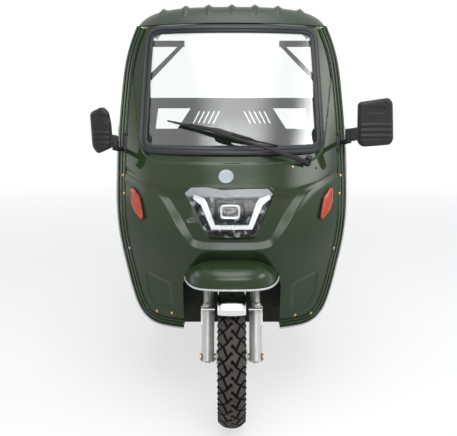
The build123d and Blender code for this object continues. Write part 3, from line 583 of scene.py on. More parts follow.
# Half lines of the pressed forms, from the door side to the middle
U_EDGE = smooth_line([
    (0.440, 0.928), (0.414, 0.919), (0.340, 0.894), (0.282, 0.860), (0.243, 0.815),
    (0.206, 0.758), (0.172, 0.706), (0.150, 0.682), (0.118, 0.672), (0.060, 0.669), (0.0, 0.669),
], 0.008)
SWAGE = smooth_line([
    (0.440, 0.968), (0.409, 0.953), (0.340, 0.917), (0.268, 0.900), (0.205, 0.893),
    (0.150, 0.905), (0.080, 0.908), (0.0, 0.908),
], 0.008)
COWL_STEP = smooth_line([
    (0.372, 1.085), (0.366, 1.050), (0.357, 1.022), (0.331, 0.992), (0.296, 0.979),
    (0.240, 0.976), (0.120, 0.977), (0.0, 0.977),
], 0.008)
PAD = rounded_loop([
    (0.342, 0.566), (0.228, 0.524), (0.222, 0.414), (0.300, 0.402), (0.338, 0.455),
], 0.022, 0.008)


def with_right_half(left):
    """Front-view points on the left, then the same ones across the middle."""
    return left + [(-x, z) for x, z in left[::-1]]


LAMP_HOLE = rounded_loop(with_right_half([(0.140, 0.894), (0.155, 0.868), (0.087, 0.724)]), 0.014, 0.006)


def closed_line(loop):
    """A loop as a line that ends where it starts."""
    return np.vstack([loop, loop[:1]])


U_DEPTH, U_WALL, SWAGE_WALL, COWL_DEPTH, COWL_WALL = 0.021, 0.034, 0.046, 0.0055, 0.009
PAD_DEPTH, PAD_WALL, LIP_HEIGHT, LIP_WIDTH, CROWN_HEIGHT = 0.0050, 0.018, 0.007, 0.0085, 0.0020


def pressed_relief(x, z):
    """How far the pressed forms stand forward of the plain surface."""
    side = np.abs(x)
    into_u = from_line(side, z, U_EDGE[::-1])
    below_swage = -from_line(side, z, SWAGE[::-1])
    above_cowl = from_line(side, z, COWL_STEP[::-1])
    edge = np.where(within(side, z, PAD), 1.0, -1.0)
    into_pad = np.abs(from_line(side, z, closed_line(PAD))) * edge
    from_lamp = np.abs(from_line(x, z, closed_line(LAMP_HOLE)))
    sunk = U_DEPTH * flat_ramp(into_u / U_WALL) * flat_ramp(below_swage / SWAGE_WALL)
    cowl = COWL_DEPTH * eased(above_cowl / COWL_WALL)
    pad = PAD_DEPTH * eased(into_pad / PAD_WALL)
    lip = LIP_HEIGHT * np.exp(-(from_lamp / LIP_WIDTH) ** 2)
    crown = CROWN_HEIGHT * np.exp(-((into_u + 0.012) / 0.016) ** 2) * eased((side - 0.02) / 0.2)
    return lip + crown - sunk - cowl - pad


def shell_y(x, z):
    """The finished outside of the nose."""
    return nose_y(x, z) - pressed_relief(x, z)


def unit(arrows):
    """Arrows of length one."""
    return arrows / np.linalg.norm(arrows, axis=-1, keepdims=True)


def front_normals(surface, x, z):
    """Outward directions of a surface that is given as y over the front view."""
    step = 0.0008
    slope_x = (surface(x + step, z) - surface(x - step, z)) / (2 * step)
    slope_z = (surface(x, z + step) - surface(x, z - step)) / (2 * step)
    return unit(np.stack([slope_x, -np.ones_like(slope_x), slope_z], 1))


def front_mesh_points(outline, holes, coarse, fine, busy):
    """Points and triangles that fill an outline, closer together where it is busy."""
    loops = [outline, *holes]
    edges, points = [], []
    for loop in loops:
        first = len(points)
        points += [tuple(p) for p in loop]
        edges += [(first + i, first + (i + 1) % len(loop)) for i in range(len(loop))]
    low, high = outline.min(0), outline.max(0)
    for spacing, wants_busy in ((coarse, False), (fine, True)):
        if spacing is None:
            continue
        rows = np.arange(low[1], high[1], spacing * 0.866)
        x, z = np.meshgrid(np.arange(low[0], high[0], spacing), rows)
        x = (x + (np.arange(len(rows)) % 2)[:, None] * spacing / 2).ravel()
        z = z.ravel()
        keep = in_sheet(x, z, outline, holes)
        x, z = x[keep], z[keep]
        lively = busy(x, z) if busy is not None else np.zeros(len(x), bool)
        keep = lively == wants_busy
        x, z = x[keep], z[keep]
        for loop in loops:
            keep = np.abs(from_line(x, z, closed_line(loop))) > 0.55 * min(spacing, 0.006)
            x, z = x[keep], z[keep]
        points += list(zip(x, z))
    made, _, faces, *_ = delaunay_2d_cdt([Vector(p) for p in points], edges, [], 0, 1e-6)
    made = np.array([(v.x, v.y) for v in made])
    faces = np.array([f for f in faces if len(f) == 3])
    return made, faces[in_sheet(*made[faces].mean(1).T, outline, holes)]


def front_and_back(faces, count):
    """The faces of a front and of a back with as many points, turned outwards."""
    return [tuple(f) for f in faces] + [tuple(f[::-1] + count) for f in faces]


def add_piece(name, points, faces, material, body, slot, sharp_deg=None, normals=None):
    """A finished mesh that rides on a body."""
    mesh = bpy.data.meshes.new(name)
    mesh.from_pydata([tuple(map(float, p)) for p in points], [], [tuple(map(int, f)) for f in faces])
    if normals is None:
        shape = bmesh.new()
        shape.from_mesh(mesh)
        bmesh.ops.recalc_face_normals(shape, faces=shape.faces)
        shape.to_mesh(mesh)
        shape.free()
    mesh.polygons.foreach_set("use_smooth", [True] * len(mesh.polygons))
    mesh.materials.append(material)
    mesh.update()
    if sharp_deg is not None:
        mesh.set_sharp_from_angle(angle=math.radians(sharp_deg))
    if normals is not None:
        mesh.normals_split_custom_set_from_vertices([tuple(map(float, n)) for n in normals])
    piece = bpy.data.objects.new(name, mesh)
    scene.collection.objects.link(piece)
    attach(piece, body)
    return piece


def front_panel(name, outline, holes, surface, wall, material, slot,
                coarse=0.0075, fine=0.0036, busy=None, body="root", back_at=None):
    """A sheet that follows a surface inside a front-view outline, with a back and edges."""
    flat, faces = front_mesh_points(outline, holes, coarse, fine, busy)
    x, z = flat[:, 0], flat[:, 1]
    front = np.stack([x, surface(x, z), z], 1)
    facing = np.cross(front[faces[:, 1]] - front[faces[:, 0]], front[faces[:, 2]] - front[faces[:, 0]])
    faces = np.where((facing[:, 1] > 0)[:, None], faces[:, ::-1], faces)
    normals = front_normals(surface, x, z)
    count = len(flat)
    back = front + np.array([0.0, wall, 0.0])
    behind_normals = -normals
    if back_at is not None:
        back = np.stack([x, back_at(x, z), z], 1)
        behind_normals = -front_normals(back_at, x, z)
    points, all_normals = [front, back], [normals, behind_normals]
    all_faces = front_and_back(faces, count)
    start = 2 * count
    for loop in [outline, *holes]:
        ring = np.array(loop)
        rim = np.stack([ring[:, 0], surface(*ring.T), ring[:, 1]], 1)
        ahead, behind = np.roll(ring, -1, axis=0), np.roll(ring, 1, axis=0)
        side = unit(np.stack([(ahead - behind)[:, 1], np.zeros(len(ring)), -(ahead - behind)[:, 0]], 1))
        probe = ring + side[:, [0, 2]] * 0.002
        outward = -1.0 if in_sheet(*probe.T, outline, holes).mean() > 0.5 else 1.0
        size = len(ring)
        rim_back = rim + np.array([0.0, wall, 0.0])
        if back_at is not None:
            rim_back[:, 1] = back_at(ring[:, 0], ring[:, 1])
        points += [rim, rim_back]
        all_normals += [side * outward, side * outward]
        for i in range(size):
            j = (i + 1) % size
            quad = (start + i, start + j, start + size + j, start + size + i)
            all_faces.append(quad if outward < 0 else quad[::-1])
        start += 2 * size
    return add_piece(name, np.vstack(points), all_faces, material, body, slot,
                     normals=np.vstack(all_normals))


# The door-side edge of the front, from the roof's edge down and round to the wheel arch
DOOR_EDGE = smooth_line([
    (0.396, 1.522), (0.416, 1.470), (0.438, 1.385), (0.452, 1.240), (0.460, 1.090), (0.461, 0.960),
    (0.455, 0.810), (0.437, 0.660), (0.413, 0.530), (0.384, 0.424), (0.354, 0.370), (0.312, 0.342),
    (0.256, 0.334), (0.187, 0.334),
], 0.006)
ARCH_HALF = 0.186


def set_in(line, inset):
    """The line moved sideways to its right by a distance."""
    ahead = unit(np.gradient(line, axis=0))
    return line + np.stack([ahead[:, 1], -ahead[:, 0]], 1) * inset


def panel_outline(inset):
    """The whole outline of the front panel inside the edge strips, with the arch."""
    right = set_in(DOOR_EDGE, inset)
    right = right[(right[:, 0] > ARCH_HALF) | (right[:, 1] > 0.7)]
    arch = np.array([(ARCH_HALF, right[-1][1]), (ARCH_HALF, 0.520), (0.178, 0.552), (0.150, 0.580),
                     (0.110, 0.596), (0.050, 0.600), (0.0, 0.600)])
    half = np.vstack([[(0.0, 1.522)], right, arch])
    left = half[::-1][1:-1] * np.array([-1.0, 1.0])
    return divided(closed_line(np.vstack([half, left])), 0.006)[:-1]


SCREEN_CORNERS = [(0.349, 1.510), (0.364, 1.014), (-0.364, 1.014), (-0.349, 1.510)]
SCREEN_RADIUS = 0.062


def screen_loop(inset):
    """The windscreen's rounded outline, moved inwards from the rubber's outer edge."""
    loop = rounded_loop(SCREEN_CORNERS, SCREEN_RADIUS, 0.006)
    return set_in(np.vstack([loop[-1:], closed_line(loop)]), inset)[1:-1]


def is_pressed(x, z):
    """True where a pressed form bends the sheet sharply."""
    step, sharp_bend = 0.005, 0.00025
    around = (pressed_relief(x + step, z) + pressed_relief(x - step, z)
              + pressed_relief(x, z + step) + pressed_relief(x, z - step))
    return np.abs(around - 4.0 * pressed_relief(x, z)) > sharp_bend


PANEL_INSET, SHELL_WALL = 0.037, 0.008
nose_shell = front_panel(
    "nose_shell", panel_outline(PANEL_INSET), [screen_loop(0.012), LAMP_HOLE],
    shell_y, SHELL_WALL, cab_green, "body_paint", busy=is_pressed,
)
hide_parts("front_shell")

# ---------------------------------------------------------------- grooved edge strips
# A folded steel strip closes each side of the front. Two grooves run down it and a pale
# plastic bead covers its raw edge.


def joined(*shapes):
    """Several (points, faces) shapes as one."""
    points, faces, start = [], [], 0
    for shape_points, shape_faces in shapes:
        points.append(np.asarray(shape_points, float))
        faces += [tuple(start + i for i in face) for face in shape_faces]
        start += len(shape_points)
    return np.vstack(points), faces


def both_sides(shape):
    """A shape and its mirror image across the vehicle's middle."""
    points, faces = shape
    mirrored = points * np.array([-1.0, 1.0, 1.0]), [tuple(face[::-1]) for face in faces]
    return joined(shape, mirrored)


def skinned(rings, closed=False):
    """Faces round a row of equal rings, with flat ends unless the row closes on itself."""
    rings = np.asarray(rings, float)
    steps, size = rings.shape[:2]
    faces = []
    for i in range(steps if closed else steps - 1):
        n = (i + 1) % steps
        for j in range(size):
            k = (j + 1) % size
            faces.append((i * size + j, i * size + k, n * size + k, n * size + j))
    if not closed:
        faces.append(tuple(range(size))[::-1])
        faces.append(tuple((steps - 1) * size + j for j in range(size)))
    return rings.reshape(-1, 3), faces


def swept(path, section, up=(0.0, 0.0, 1.0), widths=None, closed=False):
    """A cross-section of (side, up) points drawn along a path."""
    path, section = np.asarray(path, float), np.asarray(section, float)
    if closed:
        ahead = np.roll(path, -1, axis=0) - np.roll(path, 1, axis=0)
    else:
        ahead = np.gradient(path, axis=0)
    ahead = unit(ahead)
    side = unit(np.cross(ahead, np.broadcast_to(np.asarray(up, float), path.shape)))
    top = np.cross(side, ahead)
    scale = np.ones((len(path), 1)) if widths is None else np.asarray(widths, float).reshape(-1, 1)
    across = side[:, None] * (section[None, :, :1] * scale[:, None])
    rings = path[:, None] + across + top[:, None] * section[None, :, 1:]
    return skinned(rings, closed)


def round_section(radius, count=12):
    """A circle as a cross-section."""
    turns = np.arange(count) * 2.0 * math.pi / count
    return np.stack([np.cos(turns), np.sin(turns)], 1) * radius


def soft_box_section(width, height, radius):
    """An oblong with rounded corners as a cross-section."""
    points = []
    for cx, cy, first in ((1, 1, 0), (-1, 1, 90), (-1, -1, 180), (1, -1, 270)):
        for turn in (first, first + 30, first + 60, first + 90):
            points.append((
                cx * (width / 2 - radius) + radius * math.cos(math.radians(turn)),
                cy * (height / 2 - radius) + radius * math.sin(math.radians(turn)),
            ))
    return np.array(points)


def turned(profile, centre, axis, count=24, closed=False):
    """A lathe-turned shape from (distance along the axis, radius) points."""
    axis = unit(np.asarray(axis, float))
    other = np.array([0.0, 0.0, 1.0]) if abs(axis[2]) < 0.9 else np.array([0.0, 1.0, 0.0])
    first = unit(np.cross(axis, other))
    second = np.cross(axis, first)
    turns = np.arange(count) * 2.0 * math.pi / count
    spokes = np.cos(turns)[:, None] * first + np.sin(turns)[:, None] * second
    rings = [np.asarray(centre) + axis * a + spokes * max(r, 2e-5) for a, r in profile]
    return skinned(rings, closed)


def block(low, high, bevel=0.0, centre=None):
    """An oblong between two corners with bevelled edges, moved to a middle if one is given."""
    low, high = np.array(low, float), np.array(high, float)
    shape = bmesh.new()
    bmesh.ops.create_cube(shape, size=1.0)
    for vert in shape.verts:
        vert.co = Vector(np.array(vert.co) * (high - low))
    if bevel:
        bmesh.ops.bevel(shape, geom=shape.edges[:], offset=bevel, segments=2, profile=0.5,
                        affect="EDGES")
    shape.verts.index_update()
    middle = (low + high) / 2 if centre is None else np.array(centre)
    points = np.array([vert.co for vert in shape.verts]) + middle
    faces = [tuple(vert.index for vert in face.verts) for face in shape.faces]
    shape.free()
    return points, faces


def sheet(grid, wall):
    """A sheet with an even wall whose outside is a grid of points."""
    grid = np.asarray(grid, float)
    rows, columns = grid.shape[:2]
    out = np.cross(np.gradient(grid, axis=0), np.gradient(grid, axis=1))
    out /= np.maximum(np.linalg.norm(out, axis=2), 1e-12)[:, :, None]
    inner = grid - out * wall
    count = rows * columns
    faces = []
    for i in range(rows - 1):
        for j in range(columns - 1):
            a, b, c, d = (i * columns + j, (i + 1) * columns + j,
                          (i + 1) * columns + j + 1, i * columns + j + 1)
            faces += [(a, b, c, d), (a + count, d + count, c + count, b + count)]
    border = list(range(columns))
    border += [i * columns + columns - 1 for i in range(1, rows)]
    border += [(rows - 1) * columns + j for j in range(columns - 2, -1, -1)]
    border += [i * columns for i in range(rows - 2, 0, -1)]
    for a, b in zip(border, border[1:] + border[:1]):
        faces.append((a, b, b + count, a + count))
    return np.vstack([grid.reshape(-1, 3), inner.reshape(-1, 3)]), faces


STRIP_PROFILE = [
    (0.0380, 0.0030), (0.0352, 0.0035), (0.0340, 0.0000), (0.0330, -0.0012), (0.0275, -0.0016),
    (0.0262, 0.0000), (0.0250, 0.0036), (0.0222, 0.0036), (0.0210, 0.0000), (0.0198, -0.0016),
    (0.0142, -0.0016), (0.0130, 0.0000), (0.0118, 0.0036), (0.0088, 0.0036), (0.0076, 0.0000),
    (0.0064, -0.0014), (0.0022, -0.0014), (0.0004, 0.0006), (-0.0004, 0.0050),
    (-0.0004, 0.0600), (0.0030, 0.0640), (0.0080, 0.0600), (0.0080, 0.0140), (0.0380, 0.0120),
]


def along_door_edge(profile, name, material, slot, start=0):
    """Draws a cross-section of insets and setbacks down both door edges, from a point on."""
    lines = [on_plain_nose(set_in(DOOR_EDGE, inset), setback)[start:] for inset, setback in profile]
    return add_piece(name, *both_sides(skinned(np.stack(lines, 1))), material, "root", slot,
                     sharp_deg=38)


edge_strips = along_door_edge(STRIP_PROFILE, "edge_strips", cab_green, "strip_paint")
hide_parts("shell_edge_strips")
pale_plastic = coated(
    "pale_edge_plastic", (0.52, 0.53, 0.52), (0.44, 0.45, 0.44),
    smooth=0.28, rough=0.5, dust_height=0.6, dust_amount=0.25,
)
outer_bead = round_section(1.0, 10) * (0.0034, 0.0042) + (-0.0012, 0.0010)
along_door_edge(outer_bead, "edge_bead", pale_plastic, "strip_paint", start=70)
inner_bead = round_section(1.0, 8) * (0.0016, 0.0024) + (0.0385, 0.0002)
along_door_edge(inner_bead, "inner_bead", cab_green, "strip_paint")

# ---------------------------------------------------------------- windscreen
# Curved safety glass held all round by a fat black rubber, which is pushed over the edge of
# the nose's opening and spread tight by a locking strip.

RUBBER_PROFILE = [
    (-0.0030, 0.0000), (-0.0022, -0.0035), (0.0020, -0.0072), (0.0090, -0.0095), (0.0130, -0.0094),
    (0.0143, -0.0070), (0.0165, -0.0070), (0.0178, -0.0094), (0.0240, -0.0078), (0.0290, -0.0045),
    (0.0312, -0.0005), (0.0312, 0.0030), (0.0290, 0.0110), (0.0240, 0.0160), (0.0110, 0.0180),
    (0.0040, 0.0120),
]


def around_screen(profile, name, material, slot):
    """Draws a closed cross-section round the windscreen."""
    lines = [on_plain_nose(screen_loop(inset), setback) for inset, setback in profile]
    ring = skinned(np.stack(lines, 1), closed=True)
    return add_piece(name, *ring, material, "root", slot, sharp_deg=50)


screen_rubber = around_screen(RUBBER_PROFILE, "screen_rubber", seal_rubber, "seal_rubber")
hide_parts("windscreen_rubber")
screen_pane = front_panel(
    "windscreen_pane", screen_loop(0.0305), [], behind_nose(0.004), 0.005, screen_glass, "clear_glass",
    coarse=0.02, fine=None,
)
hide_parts("windscreen_glass")

# ---------------------------------------------------------------- fender cap
# A steel hood over the wheel arch, pressed with a soft top and a steep front. Its free edge
# is rolled over a pale wire and its root is welded to the nose.

CAP_RIM = [
    (0.173, -1.204, 0.558), (0.1685, -1.240, 0.5545), (0.156, -1.290, 0.553), (0.138, -1.335, 0.553),
    (0.116, -1.364, 0.554), (0.076, -1.388, 0.556), (0.0, -1.401, 0.558),
]
CAP_ROOT = [
    (0.173, 0.562), (0.156, 0.595), (0.128, 0.614), (0.100, 0.628), (0.060, 0.634), (0.0, 0.6345),
]
CAP_SPREAD = 31


def cap_grid():
    """The cap's outside from its root on the nose down to its rolled edge."""
    rim = smooth_line(CAP_RIM, count=CAP_SPREAD)
    root = on_plain_nose(smooth_line(CAP_ROOT, count=CAP_SPREAD), -0.001)
    rows = []
    for turn in np.linspace(0.0, 90.0, 16):
        reach = math.sin(math.radians(turn)) ** 0.86
        fall = 1.0 - math.cos(math.radians(turn)) ** 0.80
        row = root + (rim - root) * np.array([reach, reach, 0.0])
        row[:, 2] = root[:, 2] + (rim[:, 2] + 0.012 - root[:, 2]) * fall
        rows.append(row)
    away = unit(rim[:, :2] - np.array([0.0, -1.20]))
    for drop, flare in ((0.004, 0.0002), (0.0055, 0.0028), (0.012, 0.0036)):
        row = rim.copy()
        row[:, :2] += away * flare
        row[:, 2] += 0.012 - drop
        rows.append(row)
    half = np.array(rows)
    return np.concatenate([half[:, :-1] * np.array([-1.0, 1.0, 1.0]), half[:, ::-1]], axis=1)


cap_surface = cap_grid()
cap_skin = add_piece("fender_cap_skin", *sheet(cap_surface, 0.003), cab_green, "root", "body_paint",
                     sharp_deg=42)
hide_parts("fender_cap")
rolled_edge = swept(cap_surface[-1] - np.array([0.0, 0.0, 0.0015]), round_section(0.0036, 10))
add_piece("fender_cap_edge", *rolled_edge, pale_plastic, "root", "strip_paint")

# ---------------------------------------------------------------- headlamp
# A black moulded dish in the nose holds one oblong projector in a chrome ring and two white
# light guides. A clear cover closes it, still under its crumpled delivery film.

LAMP_FLOOR = 0.040

dish_mouth = rounded_loop(with_right_half([(0.136, 0.888), (0.149, 0.866), (0.084, 0.729)]),
                          0.014, 0.006)
lamp_dish = front_panel("lamp_dish_floor", dish_mouth, [], behind_nose(LAMP_FLOOR), 0.004,
                        gloss_black, "lamp_housing", coarse=0.012, fine=None)


def lamp_wall(outside, inside, front, back):
    """The dish's side wall between two outlines of equal length."""
    rows = ((outside, front), (inside, back), (inside, back + 0.003),
            (outside * 1.012 + np.array([0.0, -0.010]), back + 0.003))
    return skinned([on_plain_nose(loop, setback) for loop, setback in rows], closed=True)


dish_bottom = dish_mouth * 0.955 + np.array([0.0, 0.81 * 0.045])
dish_side = add_piece("lamp_dish_side", *lamp_wall(dish_mouth, dish_bottom, 0.006, LAMP_FLOOR),
                      gloss_black, "root", "lamp_housing", sharp_deg=50)
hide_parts("headlamp_housing")
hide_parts("headlamp_housing")

# The light guides glow faintly though the lamp is off: painted light that lifts them in the dark dish.
white_guide_painted_glow = coated(
    "white_light_guide_painted_glow", (0.80, 0.81, 0.82), (0.66, 0.67, 0.68),
    smooth=0.22, rough=0.5, coat=0.6, dust_height=0.2, dust_amount=0.0, ripple=0.2,
    ripple_scale=300.0, Emission_Strength=0.10, Emission_Color=(0.9, 0.95, 1.0, 1.0),
)
guide_outer = with_right_half([(0.143, 0.856), (0.112, 0.834), (0.074, 0.749)])
guide_inner = with_right_half([(0.139, 0.868), (0.101, 0.857), (0.090, 0.840), (0.061, 0.763)])
guide_loop = divided(np.array(guide_outer + guide_inner[::-1] + guide_outer[:1]), 0.006)[:-1]
# The guides take the faintly glowing white: painted light.
front_panel("lamp_light_guides", guide_loop, [], behind_nose(0.014), 0.016, white_guide_painted_glow, "lamp_lens",
            coarse=0.008, fine=None)

LAMP_MIDDLE = (-0.006, 0.812)


def lamp_oblong(half_width, half_height, corner, setback):
    """A rounded oblong round the projector, set back from the nose."""
    cx, cz = LAMP_MIDDLE
    corners = [(cx + u * half_width, cz + v * half_height)
               for u, v in ((1, 1), (1, -1), (-1, -1), (-1, 1))]
    loop = rounded_loop(corners, corner, 0.004)
    loop = loop[np.linspace(0.0, len(loop), 48, endpoint=False).astype(int)]
    depth = nose_y(0.0, cz) + setback
    return np.stack([loop[:, 0], np.full(len(loop), depth), loop[:, 1]], 1)


ring_rows = [
    (0.036, 0.026, 0.016, 0.030), (0.037, 0.027, 0.016, 0.014), (0.0355, 0.0255, 0.015, 0.0105),
    (0.0320, 0.0220, 0.013, 0.0100), (0.0285, 0.0185, 0.011, 0.0125), (0.0255, 0.0160, 0.010, 0.0220),
    (0.0250, 0.0155, 0.010, 0.0320),
]
add_piece("lamp_projector_ring", *skinned([lamp_oblong(*row) for row in ring_rows], closed=True),
          bright_chrome, "root", "lamp_housing", sharp_deg=60)
eye_rows = [lamp_oblong(0.0262 * s, 0.0167 * s, 0.010 * s, 0.0240 - 0.006 * math.sqrt(1 - s * s))
            for s in (1.0, 0.97, 0.9, 0.8, 0.65, 0.45, 0.25, 0.08)]
eye_rows = [lamp_oblong(0.0262, 0.0167, 0.010, 0.0300)] + eye_rows
dark_glass = coated(
    "dark_projector_glass", (0.030, 0.034, 0.042), (0.055, 0.040, 0.034),
    smooth=0.04, rough=0.2, coat=1.0, dust_amount=0.0,
)
add_piece("lamp_projector_eye", *skinned(eye_rows), dark_glass, "root", "lamp_lens")
hood_rows = [
    (0.0560, 0.0440, 0.018, LAMP_FLOOR), (0.0520, 0.0400, 0.018, 0.0300),
    (0.0440, 0.0330, 0.016, 0.0240), (0.0375, 0.0275, 0.014, 0.0260),
    (0.0370, 0.0270, 0.014, LAMP_FLOOR),
]
add_piece("lamp_projector_hood", *skinned([lamp_oblong(*row) for row in hood_rows], closed=True),
          gloss_black, "root", "lamp_housing", sharp_deg=50)


def cover_y(x, z):
    """The outside of the lamp's clear cover, slightly bulged."""
    level, upright = 1.0 - (x / 0.16) ** 2, 1.0 - ((z - 0.81) / 0.09) ** 2
    return nose_y(x, z) + 0.006 - 0.006 * np.clip(level, 0.0, 1.0) * np.clip(upright, 0.0, 1.0)


cover_loop = rounded_loop(with_right_half([(0.1345, 0.8870), (0.1475, 0.8655), (0.0830, 0.7300)]),
                          0.014, 0.006)
lamp_glass = clear_glass("lamp_cover_glass", (0.97, 0.98, 0.99), 1.22)
lamp_cover = front_panel("lamp_cover", cover_loop, [], cover_y, 0.0022, lamp_glass, "lamp_lens",
                         coarse=0.012, fine=None)
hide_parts("headlamp_lens")

# ---------------------------------------------------------------- lamp film
# Thin clear delivery film over the lamp cover, crumpled as it came from the works. Its pale colour shows
# along its top and left edges and on its sharpest folds, as painted highlights where the folds catch the
# light.

# The film's pale bluish colour is a painted reflection of the sky on clear film. The noise patches of it
# are painted sheen.
film_painted_sheen, film_tree, film_shader = plain_material("delivery_film_painted_sheen", (0.80, 0.83, 0.88), 0.16)
film_place = shader_node(film_tree, "TexCoord")
film_skin = shader_node(film_tree, "TexNoise", Scale=46.0, Detail=8.0)
film_sheen_patches = shader_node(film_tree, "MapRange", From_Min=0.56, From_Max=0.64, To_Max=0.16)
# Opacity along the marked folds: painted highlights where the folds catch the light.
film_fold_highlights = shader_node(film_tree, "Attribute", {"attribute_name": "fold_highlight_paint"})
film_sum = shader_node(film_tree, "Math", {"operation": "MAXIMUM"})
links_into(film_tree, [
    (film_place.outputs["Object"], film_skin.inputs["Vector"]),
    (film_skin.outputs["Fac"], film_sheen_patches.inputs["Value"]),
    (film_sheen_patches.outputs[0], film_sum.inputs[0]),
    (film_fold_highlights.outputs["Fac"], film_sum.inputs[1]),
    (film_sum.outputs[0], film_shader.inputs["Alpha"]),
])


def crumple(x, z):
    """Sharp random folds, between 0 and 1."""
    rng = np.random.default_rng(11)
    height = np.zeros(np.shape(x))
    for octave in range(4):
        for _ in range(5):
            turn = rng.uniform(0.0, math.pi)
            waves = 230.0 * 1.7 ** octave * rng.uniform(0.7, 1.3)
            shift = rng.uniform(0.0, 6.3)
            across = x * math.cos(turn) + z * math.sin(turn)
            along = z * math.cos(turn) - x * math.sin(turn)
            wave = np.sin(across * waves + shift + 1.3 * np.sin(along * waves * 0.6 + shift))
            height += (1.0 - np.abs(wave)) ** 3 / 1.7 ** octave / 5.0
    return height / 2.4


def mark_points(piece, name, values):
    """Keeps one number for each point of a piece, for its material to read."""
    shade = piece.data.attributes.new(name, "FLOAT", "POINT")
    shade.data.foreach_set("value", np.asarray(values, np.float32))


def painted_fold_highlights(x, z, fold):
    """Painted highlights on the folds, strongest along the film's top and left edges."""
    top = eased((z - 0.858) / 0.014)
    left = eased((-x - 0.118 - (z - 0.80) * 0.45) / 0.012)
    ridge = eased((fold - 0.46) / 0.20)
    streak = 0.5 * eased((fold - 0.56) / 0.12)
    rim = 1.0 - eased(np.abs(from_line(x, z, film_loop)) / 0.010)
    sides = np.maximum(left, 0.6 * rim) * (0.03 + 0.62 * ridge)
    edges = np.maximum(top * (0.20 + 0.60 * ridge), sides)
    return np.clip(np.maximum(edges, 0.7 * streak), 0.0, 0.8)


film_loop = divided(np.array([
    (0.134, 0.892), (0.150, 0.874), (0.118, 0.800), (0.086, 0.728), (0.0, 0.722), (-0.088, 0.726),
    (-0.118, 0.775), (-0.160, 0.772), (-0.172, 0.782), (-0.140, 0.796), (-0.152, 0.842),
    (-0.172, 0.876), (-0.150, 0.896), (-0.090, 0.899), (-0.040, 0.890), (0.050, 0.893), (0.134, 0.892),
]), 0.004)[:-1]
film_flat, film_faces = front_mesh_points(film_loop, [], 0.0022, None, None)
film_fold = crumple(*film_flat.T)
film_front = on_plain_nose(film_flat, -0.002 - 0.004 * film_fold)
film_back = film_front + np.array([0.0, 0.0003, 0.0])
film = add_piece("lamp_film", np.vstack([film_front, film_back]),
                 front_and_back(film_faces, len(film_flat)), film_painted_sheen, "root", "clear_glass")
# Each point keeps how strongly its painted fold highlight shows.
mark_points(film, "fold_highlight_paint", np.tile(painted_fold_highlights(*film_flat.T, film_fold), 2))

# ---------------------------------------------------------------- turn signals
# An amber faceted lens on a thin black base with a rubber edge, one on each shoulder of the
# nose, held by one screw.

SIGNAL_CORNERS = [
    (0.393, 0.875), (0.378, 0.877), (0.352, 0.847), (0.337, 0.787), (0.336, 0.772), (0.347, 0.770),
    (0.376, 0.797), (0.389, 0.826),
]
SIGNAL_MIDDLE = np.array([0.366, 0.822])


def signal_loop(grow):
    """The lens outline grown or shrunk, on the left side."""
    loop = rounded_loop(SIGNAL_CORNERS, 0.0035, 0.003)
    return loop + unit(loop - SIGNAL_MIDDLE) * grow


def signal_layer(rows):
    """Stacked outlines that stand on the nose, closed at the front."""
    return skinned([on_plain_nose(signal_loop(grow), -rise) for grow, rise in rows])


signal_base = add_piece(
    "turn_signal_rims", *both_sides(signal_layer(
        [(0.0055, -0.003), (0.0060, 0.002), (0.0050, 0.0055), (0.0020, 0.0065)])),
    black_plastic, "root", "lamp_housing", sharp_deg=50,
)
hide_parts("turn_signal_bases")
signal_lenses = add_piece(
    "turn_signal_lenses", *both_sides(signal_layer(
        [(0.0015, 0.003), (0.0010, 0.012), (-0.0010, 0.0155), (-0.0050, 0.0175), (-0.0110, 0.0182),
         (-0.0125, 0.0166), (-0.0160, 0.0170)])),
    amber_lens, "root", "amber_lens", sharp_deg=40,
)
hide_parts("turn_signals")

# ---------------------------------------------------------------- nose badge and screws
# A plain blank disc stands where a badge goes. Pan-head screws hold the edge strips and the
# two lower corners of the nose, and a rubber plug closes a spare hole.


def on_nose(x, z, out=0.0):
    """A point of the pressed nose, or a little way in front of it."""
    return np.array([x, float(shell_y(np.array([x]), np.array([z]))[0]) - out, z])


def nose_stud(profile, x, z, count):
    """A turned fitting that stands square on the nose."""
    outward = front_normals(shell_y, np.array([x]), np.array([z]))[0]
    return turned(profile, on_nose(x, z), outward, count)


badge_metal = coated(
    "pale_badge_enamel", (0.28, 0.33, 0.355), (0.24, 0.29, 0.315),
    smooth=0.2, rough=0.4, coat=0.3, dust_amount=0.0,
)
badge = nose_stud([(-0.002, 0.027), (0.0015, 0.028), (0.0030, 0.0272), (0.0036, 0.024),
                   (0.0030, 0.0225), (0.0034, 0.014), (0.0036, 0.0)], -0.021, 0.936, 48)
add_piece("nose_badge_blank", *badge, badge_metal, "root", "steel", sharp_deg=50)

NOSE_SCREWS = [
    (0.432, 0.920), (0.424, 0.852), (0.401, 0.640), (-0.432, 0.920), (-0.424, 0.852), (-0.401, 0.640),
    (-0.296, 0.389), (-0.234, 0.392), (0.248, 0.381), (0.315, 0.376), (0.230, 0.966),
]
PAN_HEAD = [(-0.002, 0.0062), (0.0006, 0.0064), (0.0022, 0.0054), (0.0032, 0.0030), (0.0034, 0.0)]
screws = [nose_stud(PAN_HEAD, x, z, 16) for x, z in NOSE_SCREWS]
add_piece("nose_screws", *joined(*screws), brass_plate, "root", "steel", sharp_deg=50)
plug = nose_stud([(-0.002, 0.0050), (0.0008, 0.0052), (0.0014, 0.0040), (0.0010, 0.0)], 0.324, 0.956, 16)
add_piece("nose_hole_plug", *plug, seal_rubber, "root", "seal_rubber", sharp_deg=50)

# ---------------------------------------------------------------- roof
# One sheet pressed with seven pointed ribs rolls over from the screen's top edge and ends at
# the rear posts. Its side edges are folded down.

